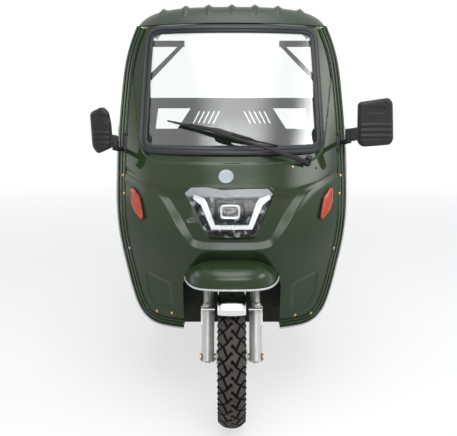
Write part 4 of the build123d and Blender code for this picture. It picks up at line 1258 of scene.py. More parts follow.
ROOF_HALF, ROOF_RISE, ROOF_BROW = 0.388, 0.0768, 0.135
ROOF_LIP_Z = 1.5205
ROOF_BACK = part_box("rear_bulkhead")[1][1] + 0.028
RIB_PITCH, RIB_HALF, RIB_HEIGHT = 0.096, 0.019, 0.0110


def roof_height(x, back):
    """How high the roof stands at a distance behind its front edge."""
    roll = 1.0 - np.clip(1.0 - back / ROOF_BROW, 0.0, 1.0) ** 2.5
    plan = np.sqrt(np.clip(1.0 - np.abs(x / ROOF_HALF) ** 4.2, 0.0, 1.0))
    return ROOF_LIP_Z + ROOF_RISE * roll * (0.12 + 0.88 * plan)


def rib_height(x, back):
    """The ribs' height above the sheet."""
    nearest = np.clip(np.round(x / RIB_PITCH), -3, 3) * RIB_PITCH
    grown = np.clip((back - 0.020) / 0.040, 0.0, 1.0)
    half = np.maximum(RIB_HALF * grown, 1e-4)
    return RIB_HEIGHT * grown * np.clip(1.0 - np.abs(x - nearest) / half, 0.0, 1.0)


def roof_grid():
    """The roof's outside, front to back, with a row of points on every rib's crest."""
    right = [0.310, 0.318, 0.326, 0.342, 0.356, 0.368, 0.377, 0.383, 0.3865, ROOF_HALF]
    across = right + [-x for x in right]
    for rib in range(-3, 4):
        across += [rib * RIB_PITCH + side * share * RIB_HALF for side in (-1.0, 1.0)
                   for share in (0.0, 0.06, 0.25, 0.5, 0.75, 0.96, 1.0)]
        if rib < 3:
            across += [rib * RIB_PITCH + beside for beside in (0.031, 0.048, 0.065)]
    across = np.unique(np.round(across, 5) + 0.0)
    backs = np.concatenate([
        np.linspace(0.0, 0.07, 24), np.linspace(0.075, 0.14, 14), [0.2, 0.35, 0.55, 0.75, 0.815, 0.82],
    ])
    front = nose_y(across, np.full_like(across, ROOF_LIP_Z)) - 0.001
    rows = []
    for back in backs:
        share = back / backs[-1]
        y = front + (ROOF_BACK - front) * share if back > 0.14 else front + back
        z = roof_height(across, y - front) + rib_height(across, y - front)
        rows.append(np.stack([across, y, z], 1))
    return np.array(rows)


# The roof sheet takes the lighter copy of the cab green: painted sky light.
roof_skin = add_piece("roof_sheet", *sheet(roof_grid()[:, ::-1], 0.005), sky_lit_roof_green, "root",
                      "body_paint", sharp_deg=30)
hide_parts("roof")

# ---------------------------------------------------------------- wiper
# One black pressed-steel arm on a splined pivot with a cap, and a blade in a long holder
# that follows the glass.

OUTWARD = (0.0, -1.0, 0.25)
blade_line = smooth_line([(-0.247, 1.135), (-0.10, 1.106), (0.03, 1.075), (0.172, 1.045)], count=34)
blade_rubber = swept(on_plain_nose(blade_line, -0.0085), soft_box_section(0.005, 0.010, 0.001),
                     up=OUTWARD)
blade_spine = swept(on_plain_nose(blade_line[2:-2], -0.0165), soft_box_section(0.0085, 0.0045, 0.001),
                    up=OUTWARD)
yoke_line = smooth_line([(-0.165, 1.1195), (-0.045, 1.095), (0.085, 1.0635)], count=13)
yoke_bow = np.sin(np.linspace(0.0, math.pi, 13))
yoke_rise = 0.0175 + 0.008 * yoke_bow ** 0.7
yoke = swept(on_plain_nose(yoke_line) - np.outer(yoke_rise, [0.0, 1.0, -0.2]),
             soft_box_section(0.0125, 0.005, 0.0015), up=OUTWARD, widths=0.55 + 0.45 * yoke_bow)
holder = swept(on_plain_nose(np.array([(-0.066, 1.1015), (-0.045, 1.096), (-0.004, 1.083)]), -0.030),
               soft_box_section(0.027, 0.016, 0.005), up=OUTWARD, widths=[0.8, 1.0, 0.75])
PIVOT = (0.287, 0.980)
arm_line = smooth_line([(-0.030, 1.088), (0.04, 1.066), (0.12, 1.041), (0.20, 1.013), (0.262, 0.990),
                        PIVOT], count=24)
along_arm = np.linspace(0.0, 1.0, 24)
arm_out = np.interp(along_arm, [0.0, 0.2, 0.75, 1.0], [0.031, 0.034, 0.030, 0.020])
arm_width = np.interp(along_arm, [0.0, 0.45, 0.75, 1.0], [0.55, 0.62, 1.0, 1.15])
arm = swept(on_plain_nose(arm_line, -arm_out), soft_box_section(0.0165, 0.0085, 0.0025), up=OUTWARD,
            widths=arm_width)
pivot = nose_stud([(-0.004, 0.017), (0.006, 0.0165), (0.008, 0.0125), (0.022, 0.0125), (0.028, 0.0115),
                   (0.031, 0.007), (0.032, 0.0)], *PIVOT, 28)
hinge_pin = turned([(-0.0105, 0.003), (-0.0095, 0.004), (0.0095, 0.004), (0.0105, 0.003)],
                   on_nose(0.247, 0.9955, 0.028), (0.33, -0.1, 1.0), 14)
wiper_set = add_piece("wiper_arm_and_blade",
                      *joined(blade_rubber, blade_spine, yoke, holder, arm, pivot, hinge_pin),
                      black_plastic, "root", "black_plastic", sharp_deg=40)
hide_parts("wiper")

# ---------------------------------------------------------------- mirrors
# Black moulded heads with a ribbed front and a flat glass behind, each on a short stay from
# a plate on the edge strip. The right head is turned further in.

MIRROR_FRONT, MIRROR_DEPTH = -1.066, 0.040
MIRROR_FOOT_Y = float(nose_y(0.430, 1.05)) + 0.004
mirror_silver = coated(
    "mirror_silver", (0.86, 0.87, 0.88), (0.82, 0.83, 0.84),
    smooth=0.015, rough=0.12, dust_amount=0.0, ripple=0.0, Metallic=1.0,
)


def mirror_head(name, corners, radius, lean, arm_inner):
    """One mirror: ribbed head, glass, bracket, stay and plate."""
    loop = rounded_loop(corners, radius, 0.003)
    centre = loop.mean(0)
    low, high = loop.min(0), loop.max(0)
    span = high - low

    def face_y(x, z):
        """The ribbed front of the head."""
        edge = np.abs(from_line(x, z, closed_line(loop)))
        rim = np.clip(edge / 0.013, 0.0, 1.0)
        rounding = 0.013 * (1.0 - np.sqrt(np.clip(1.0 - (1.0 - rim) ** 2, 0.0, 1.0)))
        u, v = (x - centre[0]) / span[0], (z - low[1]) / span[1]
        bow = 0.010 * (4.0 * u * u) + 0.006 * (v - 0.5) ** 2
        band = eased((0.54 - v) / 0.04) * eased((v - 0.10) / 0.05) * eased((edge - 0.004) / 0.006)
        ribs = 0.0034 * band * (0.5 + 0.5 * np.cos((v + 0.05 * u * u) * 2.0 * math.pi / 0.112))
        pill = eased((0.0135 - np.hypot(np.maximum(np.abs(u * span[0]) - 0.022, 0.0),
                                        (v - 0.76) * span[1])) / 0.003)
        return MIRROR_FRONT + lean * (x - centre[0]) + bow + rounding - ribs + 0.0035 * pill

    def back_y(x, z):
        """The flat back of the head."""
        return MIRROR_FRONT + MIRROR_DEPTH + lean * (x - centre[0])

    def glass_front(x, z):
        """The glass's own plane, just proud of the back of the head."""
        return back_y(x, z) - 0.001

    head = front_panel(name + "_head", loop, [], face_y, 0.0, black_plastic, "black_plastic",
                       coarse=0.0038, fine=None, back_at=back_y)
    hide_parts(name)
    front_panel(name + "_glass", centre + (loop - centre) * 0.93, [], glass_front, 0.0022, mirror_silver,
                "clear_glass", coarse=0.03, fine=None)
    side = math.copysign(1.0, centre[0])
    low_z = low[1] + 0.27 * span[1]
    knuckle_y = MIRROR_FRONT + 0.036
    start = np.array([arm_inner, MIRROR_FRONT + 0.030 + lean * (arm_inner - centre[0]), low_z])
    bracket_path = np.array([
        start + [side * 0.010, 0.0, 0.0], start, start + [-side * 0.018, 0.004, -0.004],
        [side * 0.456, knuckle_y, low_z - 0.006],
    ])
    bracket = swept(bracket_path, soft_box_section(0.016, 0.050, 0.005), widths=[1.0, 1.0, 0.8, 0.7])
    knuckle = turned([(-0.028, 0.010), (-0.026, 0.0125), (0.026, 0.0125), (0.028, 0.010)],
                     [side * 0.455, knuckle_y, low_z - 0.010], (0.0, 0.0, 1.0), 20)
    stay_line = smooth_line([
        (side * 0.455, knuckle_y, low_z - 0.030), (side * 0.446, MIRROR_FRONT + 0.070, low_z - 0.036),
        (side * 0.436, MIRROR_FRONT + 0.120, low_z - 0.036),
        (side * 0.430, MIRROR_FOOT_Y, low_z - 0.036),
    ], count=12)
    stay = swept(stay_line, round_section(0.0095, 12))
    plate_x = side * 0.4255
    plate_line = np.stack([np.full(7, plate_x), np.linspace(1.010, 1.090, 7)], 1)
    plate = swept(on_plain_nose(plate_line, -0.002), soft_box_section(0.018, 0.006, 0.002),
                  up=(0.0, -1.0, 0.0))
    bolts = [turned(PAN_HEAD, [plate_x, float(nose_y(plate_x, z)) - 0.005, z], (0.0, -1.0, 0.1), 12)
             for z in (1.020, 1.080)]
    add_piece(name + "_stay", *joined(bracket, knuckle, stay, plate, *bolts), black_plastic, "root",
              "black_plastic", sharp_deg=40)


mirror_head("mirror_left", [(0.4875, 1.206), (0.606, 1.2235), (0.6225, 1.206), (0.630, 1.062),
                            (0.618, 1.043), (0.507, 1.035), (0.489, 1.052)], 0.016, 0.10, 0.490)
mirror_head("mirror_right", [(-0.552, 1.166), (-0.498, 1.190), (-0.476, 1.169), (-0.467, 1.119),
                             (-0.463, 1.033), (-0.522, 1.007), (-0.545, 1.034)], 0.014, -0.30, -0.468)

# ---------------------------------------------------------------- front mudguard
# A crowned chrome blade close over the tyre. Its front end is folded straight down into a
# bright lip and two short stays hold it to the fork legs.

WHEEL_RADIUS = 0.257
FRONT_HUB = np.array([0.0, FRONT_AXLE_Y, WHEEL_RADIUS])
BLADE_RADIUS = 0.2945
LIP_FALL = 0.031


def mudguard_grid():
    """The blade from the folded lip up over the tyre to its rear edge."""
    across = np.linspace(-1.0, 1.0, 17)
    rows = []
    for turn in np.r_[np.linspace(143.0, 57.0, 30), 55.5, 54.5, 54.1]:
        rolled_edge = np.clip(np.abs(across) - 0.86, 0.0, 1.0) / 0.14
        radius = BLADE_RADIUS + 0.0075 * (1.0 - across ** 2) - 0.006 * rolled_edge
        y = FRONT_HUB[1] - radius * math.cos(math.radians(turn))
        z = FRONT_HUB[2] + radius * math.sin(math.radians(turn))
        rows.append(np.stack([across * 0.0495, y, z], 1))
    end = rows[-1]
    for fall, ahead in ((0.0015, 0.0022), (0.004, 0.0034), (0.010, 0.0042), (0.020, 0.0048),
                        (0.0285, 0.0047), (LIP_FALL, 0.0046)):
        row = end.copy()
        row[:, 1] -= ahead + 0.006 * (1.0 - across ** 2) * fall / LIP_FALL
        row[:, 2] = end[:, 2] + (0.4750 - end[:, 2]) * fall / LIP_FALL
        rows.append(row)
    return np.array(rows)


RAKE = math.radians(25.0)
LEG_AXIS = np.array([0.0, math.sin(RAKE), math.cos(RAKE)])
stay_root = FRONT_HUB + LEG_AXIS * BLADE_RADIUS
blade_stays = []
for side in (-1.0, 1.0):
    path = stay_root + np.array([(side * 0.046, 0.0, -0.001), (side * 0.058, 0.0, -0.003),
                                 (side * 0.071, 0.0, -0.003)])
    blade_stays.append(swept(path, soft_box_section(0.022, 0.005, 0.001)))
mudguard_blade = add_piece("front_mudguard_blade", *joined(sheet(mudguard_grid(), 0.0022), *blade_stays),
                           bright_chrome, "steering", "chrome_steel", sharp_deg=35)
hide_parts("front_mudguard")

# ---------------------------------------------------------------- fork fittings
# Each telescopic leg has a dust cap and a pinch ring with a cross bolt at the top of its
# cast sleeve. The axle is held by brass-plated nuts outside and steel spacers inside.

LEG_X = 0.090


def on_leg(side, along):
    """A point on a fork leg's centre line, measured up from the axle."""
    return FRONT_HUB + np.array([side * LEG_X, 0.0, 0.0]) + LEG_AXIS * along


rings, bolts, caps = [], [], []
for side in (-1.0, 1.0):
    foot = on_leg(side, 0.0)
    caps.append(turned([(0.186, 0.0236), (0.190, 0.0242), (0.196, 0.0242), (0.199, 0.0230),
                        (0.203, 0.0205), (0.205, 0.0188), (0.186, 0.0188)],
                       foot, LEG_AXIS, 32, closed=True))
    rings.append(turned([(0.172, 0.0236), (0.1725, 0.0250), (0.174, 0.0258), (0.182, 0.0258),
                         (0.1835, 0.0250), (0.184, 0.0236)], foot, LEG_AXIS, 32, closed=True))
    bolt_at = on_leg(side, 0.178) + np.array([0.0, -0.026, 0.010])
    bolts.append(turned([(-0.026, 0.0), (-0.0255, 0.0046), (0.018, 0.0046), (0.0185, 0.0075),
                         (0.0245, 0.0075), (0.0255, 0.0060), (0.0256, 0.0)],
                        bolt_at, (side, 0.0, 0.0), 12))
    bolts.append(turned([(0.0, 0.0), (0.0004, 0.0100), (0.004, 0.0105), (0.0048, 0.0)],
                        on_leg(side, -0.019), -LEG_AXIS, 20))
add_piece("fork_dust_caps", *joined(*caps), silver_paint, "steering", "fork_silver", sharp_deg=45)
add_piece("fork_pinch_rings", *joined(*rings), silver_paint, "steering", "fork_silver", sharp_deg=45)
add_piece("fork_bolts", *joined(*bolts), bright_chrome, "steering", "chrome_steel", sharp_deg=45)


def hex_nut(centre, out, width, start, end, bore):
    """A six-sided nut with chamfered corners round a bore."""
    radius = width / math.sqrt(3.0)
    rows = [(start, bore), (start, radius * 0.93), (start + 0.0012, radius), (end - 0.0014, radius),
            (end, radius * 0.90), (end, bore)]
    return turned(rows, centre, out, 6, closed=True)


axle_parts, washers, nuts = [], [], []
for out in ((-1.0, 0.0, 0.0), (1.0, 0.0, 0.0)):
    axle_parts.append(turned([(0.0, 0.0), (0.0, 0.0073), (0.1185, 0.0073), (0.1200, 0.0060),
                              (0.1200, 0.0)], FRONT_HUB, out, 20))
    axle_parts.append(turned([(0.0595, 0.0076), (0.0595, 0.0135), (0.0660, 0.0135), (0.0662, 0.0076)],
                             FRONT_HUB, out, 20, closed=True))
    washers.append(turned([(0.1138, 0.0077), (0.1138, 0.0150), (0.1155, 0.0150), (0.1155, 0.0077)],
                          FRONT_HUB, out, 24, closed=True))
    nuts.append(hex_nut(FRONT_HUB, out, 0.022, 0.1156, 0.1196, 0.0077))
axle_steel = add_piece("front_axle_bar", *joined(*axle_parts), zinc_plate, "steering", "steel",
                       sharp_deg=45)
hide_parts("front_axle")
add_piece("front_axle_nuts", *joined(*washers, *nuts), brass_plate, "steering", "steel", sharp_deg=30)

# ---------------------------------------------------------------- tyres
# Cross-ply motorcycle tyres with slanted chevron blocks. The grooves are moulded, the
# shoulder lugs stand out of the sidewall and dust stays on the block tops.

TREAD_REPEATS, TREAD_DEPTH, TREAD_SPREAD = 30, 0.0052, 0.0475
TREAD_PITCH = 2.0 * math.pi * WHEEL_RADIUS / TREAD_REPEATS
HALF_GROOVES = [
    [(-1.20, -0.16), (-0.95, 0.02), (-0.52, 0.35), (-0.27, 0.55), (-0.03, 0.95)],
    [(-0.24, 0.62), (-0.49, 1.34), (-0.74, 1.64), (-1.00, 1.50)],
    [(-0.03, 0.95), (-0.09, 0.86), (-0.01, 0.84)],
]
RIGHT_SHIFT = 0.46


def tread_lines():
    """All groove lines that cross one repeat, in metres over the tread."""
    lines = []
    for side, shift in ((1.0, 0.0), (-1.0, RIGHT_SHIFT)):
        for groove in HALF_GROOVES:
            for turn in (-2, -1, 0, 1):
                lines.append(np.array([
                    (side * u * TREAD_SPREAD, (v + shift + turn) * TREAD_PITCH) for u, v in groove
                ]))
    return lines


def tread_depth(across, around):
    """How deep the tread is cut, from 0 on a block to 1 in a groove."""
    half_width, shoulder = 0.0031, 0.0010
    cut = np.zeros(np.shape(across))
    for line in tread_lines():
        away = np.abs(from_line(across, around, line))
        cut = np.maximum(cut, 1.0 - eased((away - half_width) / shoulder))
    return cut


TYRE_SIDE = [
    (0.0470, 0.2290), (0.0482, 0.2180), (0.0485, 0.2065), (0.0474, 0.1920), (0.0440, 0.1770),
    (0.0395, 0.1650), (0.0345, 0.1575),
]
TYRE_CROWN = smooth_line([
    (0.0, WHEEL_RADIUS), (0.014, 0.2560), (0.026, 0.2527), (0.036, 0.2472), (0.0425, 0.2405),
    (0.0462, 0.2340), (0.0470, 0.2290),
], count=200)


def tyre_points(per_repeat, across_count):
    """The tyre's rings, its faces and how worn each point of the tread looks."""
    arc = np.concatenate([[0.0], np.cumsum(np.linalg.norm(np.diff(TYRE_CROWN, axis=0), axis=1))])
    half = np.linspace(0.0, arc[-1], across_count)
    crown = np.stack([np.interp(half, arc, TYRE_CROWN[:, k]) for k in (0, 1)], 1)
    side = np.array(TYRE_SIDE[1:])
    profile = np.vstack([side[::-1] * [-1, 1], crown[::-1] * [-1, 1], crown[1:], side])
    spread = np.concatenate([
        np.full(len(side), -9.0), -half[::-1], half[1:], np.full(len(side), 9.0),
    ])
    ahead = np.gradient(profile, axis=0)
    normal = unit(np.stack([-ahead[:, 1], ahead[:, 0]], 1))
    around = np.arange(per_repeat) * TREAD_PITCH / per_repeat
    a, b = np.meshgrid(around, spread, indexing="ij")
    on_tread = np.abs(b) < 1.0
    cut = np.zeros(a.shape)
    cut[on_tread] = tread_depth(b[on_tread] * TREAD_SPREAD / arc[-1], a[on_tread])
    edge = np.clip((np.abs(b) / arc[-1] - 0.9) / 0.1, 0.0, 1.0) * on_tread
    raised = 1.0 - cut
    deep = TREAD_DEPTH * cut * (1.0 - 0.35 * edge) - 0.0006 * raised * edge
    rows, wear = [], []
    for repeat in range(TREAD_REPEATS):
        for k in range(per_repeat):
            turn = (repeat + k / per_repeat) * 2.0 * math.pi / TREAD_REPEATS
            x = profile[:, 0] + normal[:, 0] * deep[k]
            r = profile[:, 1] - np.abs(normal[:, 1]) * deep[k]
            rows.append(np.stack([x, -r * math.cos(turn), r * math.sin(turn)], 1))
            wear.append(raised[k] * on_tread[k])
    turns = np.arange(len(rows)) * 2.0 * math.pi / len(rows)
    beads = [np.stack([np.full(len(rows), x), -0.1555 * np.cos(turns), 0.1555 * np.sin(turns)], 1)
             for x in (0.0300, -0.0300)]
    rings = np.concatenate([np.array(rows), np.stack(beads, 1)], axis=1)
    worn = np.concatenate([np.array(wear), np.zeros((len(rows), 2))], axis=1)
    points, faces = skinned(rings, closed=True)
    return points, faces, worn.ravel()


tyre_rubber, tyre_tree, tyre_shader = plain_material(
    "tyre_rubber_treaded", (0.020, 0.019, 0.018), 0.7, Specular_IOR_Level=0.1)
tyre_skin = coat_effect(
    tyre_tree, (0.003, 0.003, 0.003), (0.002, 0.002, 0.002), Dust_Height=0.6, Dust_Amount=0.03,
    Smooth=0.55, Rough=0.8, Ripple=0.25, Ripple_Scale=420.0)
block_dust = coat_effect(
    tyre_tree, (0.078, 0.068, 0.059), (0.046, 0.042, 0.039), Dust_Height=0.6, Dust_Amount=0.25,
    Smooth=0.75, Rough=0.95, Ripple=0.3, Ripple_Scale=500.0)
worn_top = shader_node(tyre_tree, "Attribute", {"attribute_name": "block_top"})
block_mix = shader_node(tyre_tree, "Mix", {"data_type": "RGBA"})
links_into(tyre_tree, [
    (worn_top.outputs["Fac"], block_mix.inputs["Factor"]),
    (tyre_skin.outputs["Colour"], block_mix.inputs["A"]),
    (block_dust.outputs["Colour"], block_mix.inputs["B"]),
    (block_mix.outputs["Result"], tyre_shader.inputs["Base Color"]),
    (block_dust.outputs["Roughness"], tyre_shader.inputs["Roughness"]),
    (tyre_skin.outputs["Normal"], tyre_shader.inputs["Normal"]),
])
sidewall_bands = []
for radius, x, size in ((0.2185, 0.0480, 0.0011), (0.1990, 0.0480, 0.0011), (0.1755, 0.0434, 0.0013)):
    for side in (-1.0, 1.0):
        sidewall_bands.append(turned([
            (x - 0.0010, radius - size * 1.6), (x + size * 0.8, radius - size),
            (x + size * 0.8, radius + size), (x - 0.0010, radius + size * 1.6),
        ], (0.0, 0.0, 0.0), (side, 0.0, 0.0), 72, closed=True))

REAR_AXLE_Y = 0.800
REAR_HALF_TRACK = 0.430
WHEEL_PLACES = [
    ("front", FRONT_HUB, "front_wheel"),
    ("rear_left", np.array([REAR_HALF_TRACK, REAR_AXLE_Y, WHEEL_RADIUS]), "rear_left_wheel"),
    ("rear_right", np.array([-REAR_HALF_TRACK, REAR_AXLE_Y, WHEEL_RADIUS]), "rear_right_wheel"),
]
band_points, band_faces = joined(*sidewall_bands)
front_rubber = tyre_points(30, 32)
rear_rubber = tyre_points(18, 20)
for wheel, place, body in WHEEL_PLACES:
    points, faces, worn = front_rubber if wheel == "front" else rear_rubber
    points, faces = joined((points, faces), (band_points, band_faces))
    tread = add_piece(wheel + "_tyre_treaded", points + place, faces, tyre_rubber, body, "tyre_rubber",
                      sharp_deg=35)
    mark_points(tread, "block_top", np.concatenate([worn, np.zeros(len(band_points))]))
    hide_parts(wheel + "_tyre")

# ---------------------------------------------------------------- wheels
# Pressed steel rims with rolled edges and six round holes in a dished disc. The rear hubs
# have a dust cap and wheel nuts, and every rim has a rubber valve.

WHEEL_BOLTS, BOLT_CIRCLE, DISC_HOLES, HOLE_CIRCLE, HOLE_RADIUS = 5, 0.048, 6, 0.121, 0.0165
RIM_EDGE = [
    (0.0335, 0.1600), (0.0352, 0.1625), (0.0372, 0.1618), (0.0376, 0.1590), (0.0360, 0.1560),
    (0.0335, 0.1545), (0.0330, 0.1490), (0.0200, 0.1440),
]


def wheel_rim(outward, hub_out, hub_in, bore, hub_radius):
    """A rim and its hub, turned as one wheel."""
    inner_edge = [(-along, radius) for along, radius in RIM_EDGE[::-1]]
    well = [(-0.0290, 0.1558), (-0.0180, 0.1472), (0.0180, 0.1472), (0.0290, 0.1558)]
    barrel = RIM_EDGE + inner_edge + well
    shapes = [turned(barrel, (0.0, 0.0, 0.0), (1.0, 0.0, 0.0), 72, closed=True)]
    hub = [(-hub_in, bore), (-hub_in, hub_radius * 0.86), (-hub_in + 0.002, hub_radius * 0.9),
           (-0.016, hub_radius * 0.9), (-0.012, hub_radius), (hub_out - 0.003, hub_radius),
           (hub_out, hub_radius - 0.003), (hub_out, bore)]
    shapes.append(turned(hub, (0.0, 0.0, 0.0), (outward, 0.0, 0.0), 40, closed=True))
    return shapes


def circle(radius, count, centre=(0.0, 0.0)):
    """Points evenly round a circle."""
    turns = np.arange(count) * 2.0 * math.pi / count
    return np.stack([centre[0] + radius * np.sin(turns), centre[1] + radius * np.cos(turns)], 1)


def dished_disc(outward):
    """The dished disc between hub and rim, with six rolled holes."""
    centres = [HOLE_CIRCLE * np.array([math.sin(angle), math.cos(angle)])
               for angle in 2.0 * math.pi * (np.arange(DISC_HOLES) + 0.5) / DISC_HOLES]
    holes = [circle(0.030, 96)] + [circle(HOLE_RADIUS, 20, centre) for centre in centres]
    flat, faces = front_mesh_points(circle(0.1470, 96), holes, 0.0075, None, None)
    radius = np.hypot(*flat.T)
    level = 0.0165 - 0.020 * eased((radius - 0.062) / 0.032) + 0.003 * eased((radius - 0.132) / 0.012)
    lift = np.zeros(len(flat))
    for centre in centres:
        away = np.hypot(*(flat - centre).T) - HOLE_RADIUS
        lift = np.maximum(lift, 0.0022 * (1.0 - eased(away / 0.005)))
    front = np.stack([outward * (level + lift), flat[:, 0], flat[:, 1]], 1)
    back = front - np.array([outward * 0.0042, 0.0, 0.0])
    size = len(flat)
    all_faces = front_and_back(faces, size)
    edge_count = {}
    for face in faces:
        for a, b in zip(face, np.roll(face, -1)):
            key = (min(a, b), max(a, b))
            edge_count[key] = edge_count.get(key, 0) + 1
    for (a, b), uses in edge_count.items():
        if uses == 1:
            all_faces.append((a, b, b + size, a + size))
    return np.vstack([front, back]), all_faces


for wheel, place, body in WHEEL_PLACES:
    outward = -1.0 if wheel == "rear_right" else 1.0
    if wheel == "front":
        shapes = wheel_rim(outward, 0.0585, 0.0585, 0.0078, 0.030)
    else:
        shapes = wheel_rim(outward, 0.0480, 0.0545, 0.0153, 0.034)
    shapes.append(dished_disc(outward))
    points, faces = joined(*shapes)
    rim_piece = add_piece(wheel + "_rim_pressed", points + place, faces, silver_paint, body, "rim_paint",
                          sharp_deg=38)
    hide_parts(wheel + "_rim")
    trim = []
    out = (outward, 0.0, 0.0)
    if wheel != "front":
        for y, z in circle(BOLT_CIRCLE, WHEEL_BOLTS):
            stud_foot = (outward * 0.0165, y, z)
            trim.append(hex_nut(stud_foot, out, 0.017, 0.0, 0.010, 0.0045))
            trim.append(turned([(0.0, 0.0), (0.0, 0.0045), (0.014, 0.0045), (0.015, 0.0030),
                                (0.015, 0.0)], stud_foot, out, 12))
        trim.append(turned([(0.044, 0.0155), (0.044, 0.0300), (0.050, 0.0295), (0.060, 0.0270),
                            (0.0665, 0.0190), (0.0690, 0.0155)], (0.0, 0.0, 0.0), out, 32, closed=True))
    valve_path = [(outward * 0.010, 0.0, 0.143), (outward * 0.016, 0.0, 0.136),
                  (outward * 0.024, 0.0, 0.131)]
    trim.append(swept(smooth_line(valve_path, count=7), round_section(0.0036, 10), up=(0.0, 1.0, 0.0)))
    points, faces = joined(*trim)
    add_piece(wheel + "_wheel_fittings", points + place, faces, zinc_plate, body, "steel", sharp_deg=35)

# ---------------------------------------------------------------- seat
# Two foam pads on plywood boards, covered in black vinyl. The cover is sewn in panels with
# piping round the top edge, and it is stapled under the board.


def pad_start(half, thick, corner, crown):
    """A closed form smaller than the pad, its sides drawn in between the corners."""
    shape = bmesh.new()
    bmesh.ops.create_cube(shape, size=2.0)
    bmesh.ops.subdivide_edges(shape, edges=shape.edges[:], cuts=15, use_grid_fill=True)
    size = np.array([half[0] - 0.010, half[1] - 0.010, (thick - crown) / 2])
    cube = np.array([vert.co for vert in shape.verts])
    spots = cube * size
    core = np.clip(spots, corner - size, size - corner)
    spots = core + unit(spots - core) * corner
    drawn = 0.007 * (1.0 - cube[:, [1, 0]] ** 2)
    spots[:, :2] -= np.sign(cube[:, :2]) * drawn * (np.abs(cube[:, :2]) > 0.9)
    spots[:, 2] += size[2] + (cube[:, 2] > 0.9) * 0.6 * crown * np.prod(1.0 - cube[:, :2] ** 2, axis=1)
    for vert, spot in zip(shape.verts, spots):
        vert.co = spot
    mesh = bpy.data.meshes.new("pad_start")
    shape.to_mesh(mesh)
    shape.free()
    return mesh


def final_mesh(piece):
    """The mesh that the piece's modifiers give."""
    seen = piece.evaluated_get(bpy.context.evaluated_depsgraph_get())
    return bpy.data.meshes.new_from_object(seen)


def mesh_points(mesh):
    """A mesh's points as an array."""
    flat = np.empty(len(mesh.vertices) * 3)
    mesh.vertices.foreach_get("co", flat)
    return flat.reshape(-1, 3)


def inflated(mesh, most):
    """The pad swollen by air pressure with its base held, each point moving no more than most."""
    pad = bpy.data.objects.new("pad_in_work", mesh)
    scene.collection.objects.link(pad)
    remesh = pad.modifiers.new("even_mesh", "REMESH")
    remesh.mode = "VOXEL"
    remesh.voxel_size = 0.006
    even = final_mesh(pad)
    pad.modifiers.clear()
    pad.data = even
    before = mesh_points(even)
    held = pad.vertex_groups.new(name="base")
    held.add([i for i, z in enumerate(before[:, 2]) if z < 0.008], 1.0, "REPLACE")
    cloth = pad.modifiers.new("cover", "CLOTH")
    cloth.settings.use_pressure = True
    cloth.settings.uniform_pressure_force = 4.0
    cloth.settings.vertex_group_mass = "base"
    cloth.settings.effector_weights.gravity = 0.0
    for step in range(1, 21):
        scene.frame_set(step)
    moved = mesh_points(final_mesh(pad)) - before
    far = np.linalg.norm(moved, axis=1)[:, None]
    before = before + moved * np.minimum(1.0, most / np.maximum(far, 1e-9))
    pad.modifiers.clear()
    scene.frame_set(1)
    even.vertices.foreach_set("co", before.ravel())
    smoother = pad.modifiers.new("smooth_skin", "SUBSURF")
    smoother.levels = smoother.render_levels = 1
    smooth = final_mesh(pad)
    bpy.data.objects.remove(pad)
    return smooth


seat_black, vinyl_tree, vinyl_shader = plain_material(
    "seat_vinyl_grained", (0.018, 0.018, 0.019), 0.45, Specular_IOR_Level=0.35)
vinyl = coat_effect(vinyl_tree, (0.018, 0.018, 0.019), (0.012, 0.012, 0.013), Dust_Height=1.0,
                    Dust_Amount=0.05, Smooth=0.38, Rough=0.6, Ripple=0.0)
grain_place = shader_node(vinyl_tree, "TexCoord")
grain = shader_node(vinyl_tree, "TexVoronoi", {"feature": "DISTANCE_TO_EDGE"}, Scale=420.0)
grain_bump = shader_node(vinyl_tree, "Bump", Strength=0.35, Distance=0.0006)
links_into(vinyl_tree, [
    (grain_place.outputs["Object"], grain.inputs["Vector"]),
    (grain.outputs["Distance"], grain_bump.inputs["Height"]),
    (grain_bump.outputs[0], vinyl_shader.inputs["Normal"]),
    (vinyl.outputs["Colour"], vinyl_shader.inputs["Base Color"]),
    (vinyl.outputs["Roughness"], vinyl_shader.inputs["Roughness"]),
])


SEAMS = (-0.222, -0.074, 0.074, 0.222)
SEAM_WIDTH, CROSS_SEAM_WIDTH, SEAM_DEPTH = 0.0075, 0.0065, 0.0095
PAD_CORNER, PAD_CROWN = 0.020, 0.014


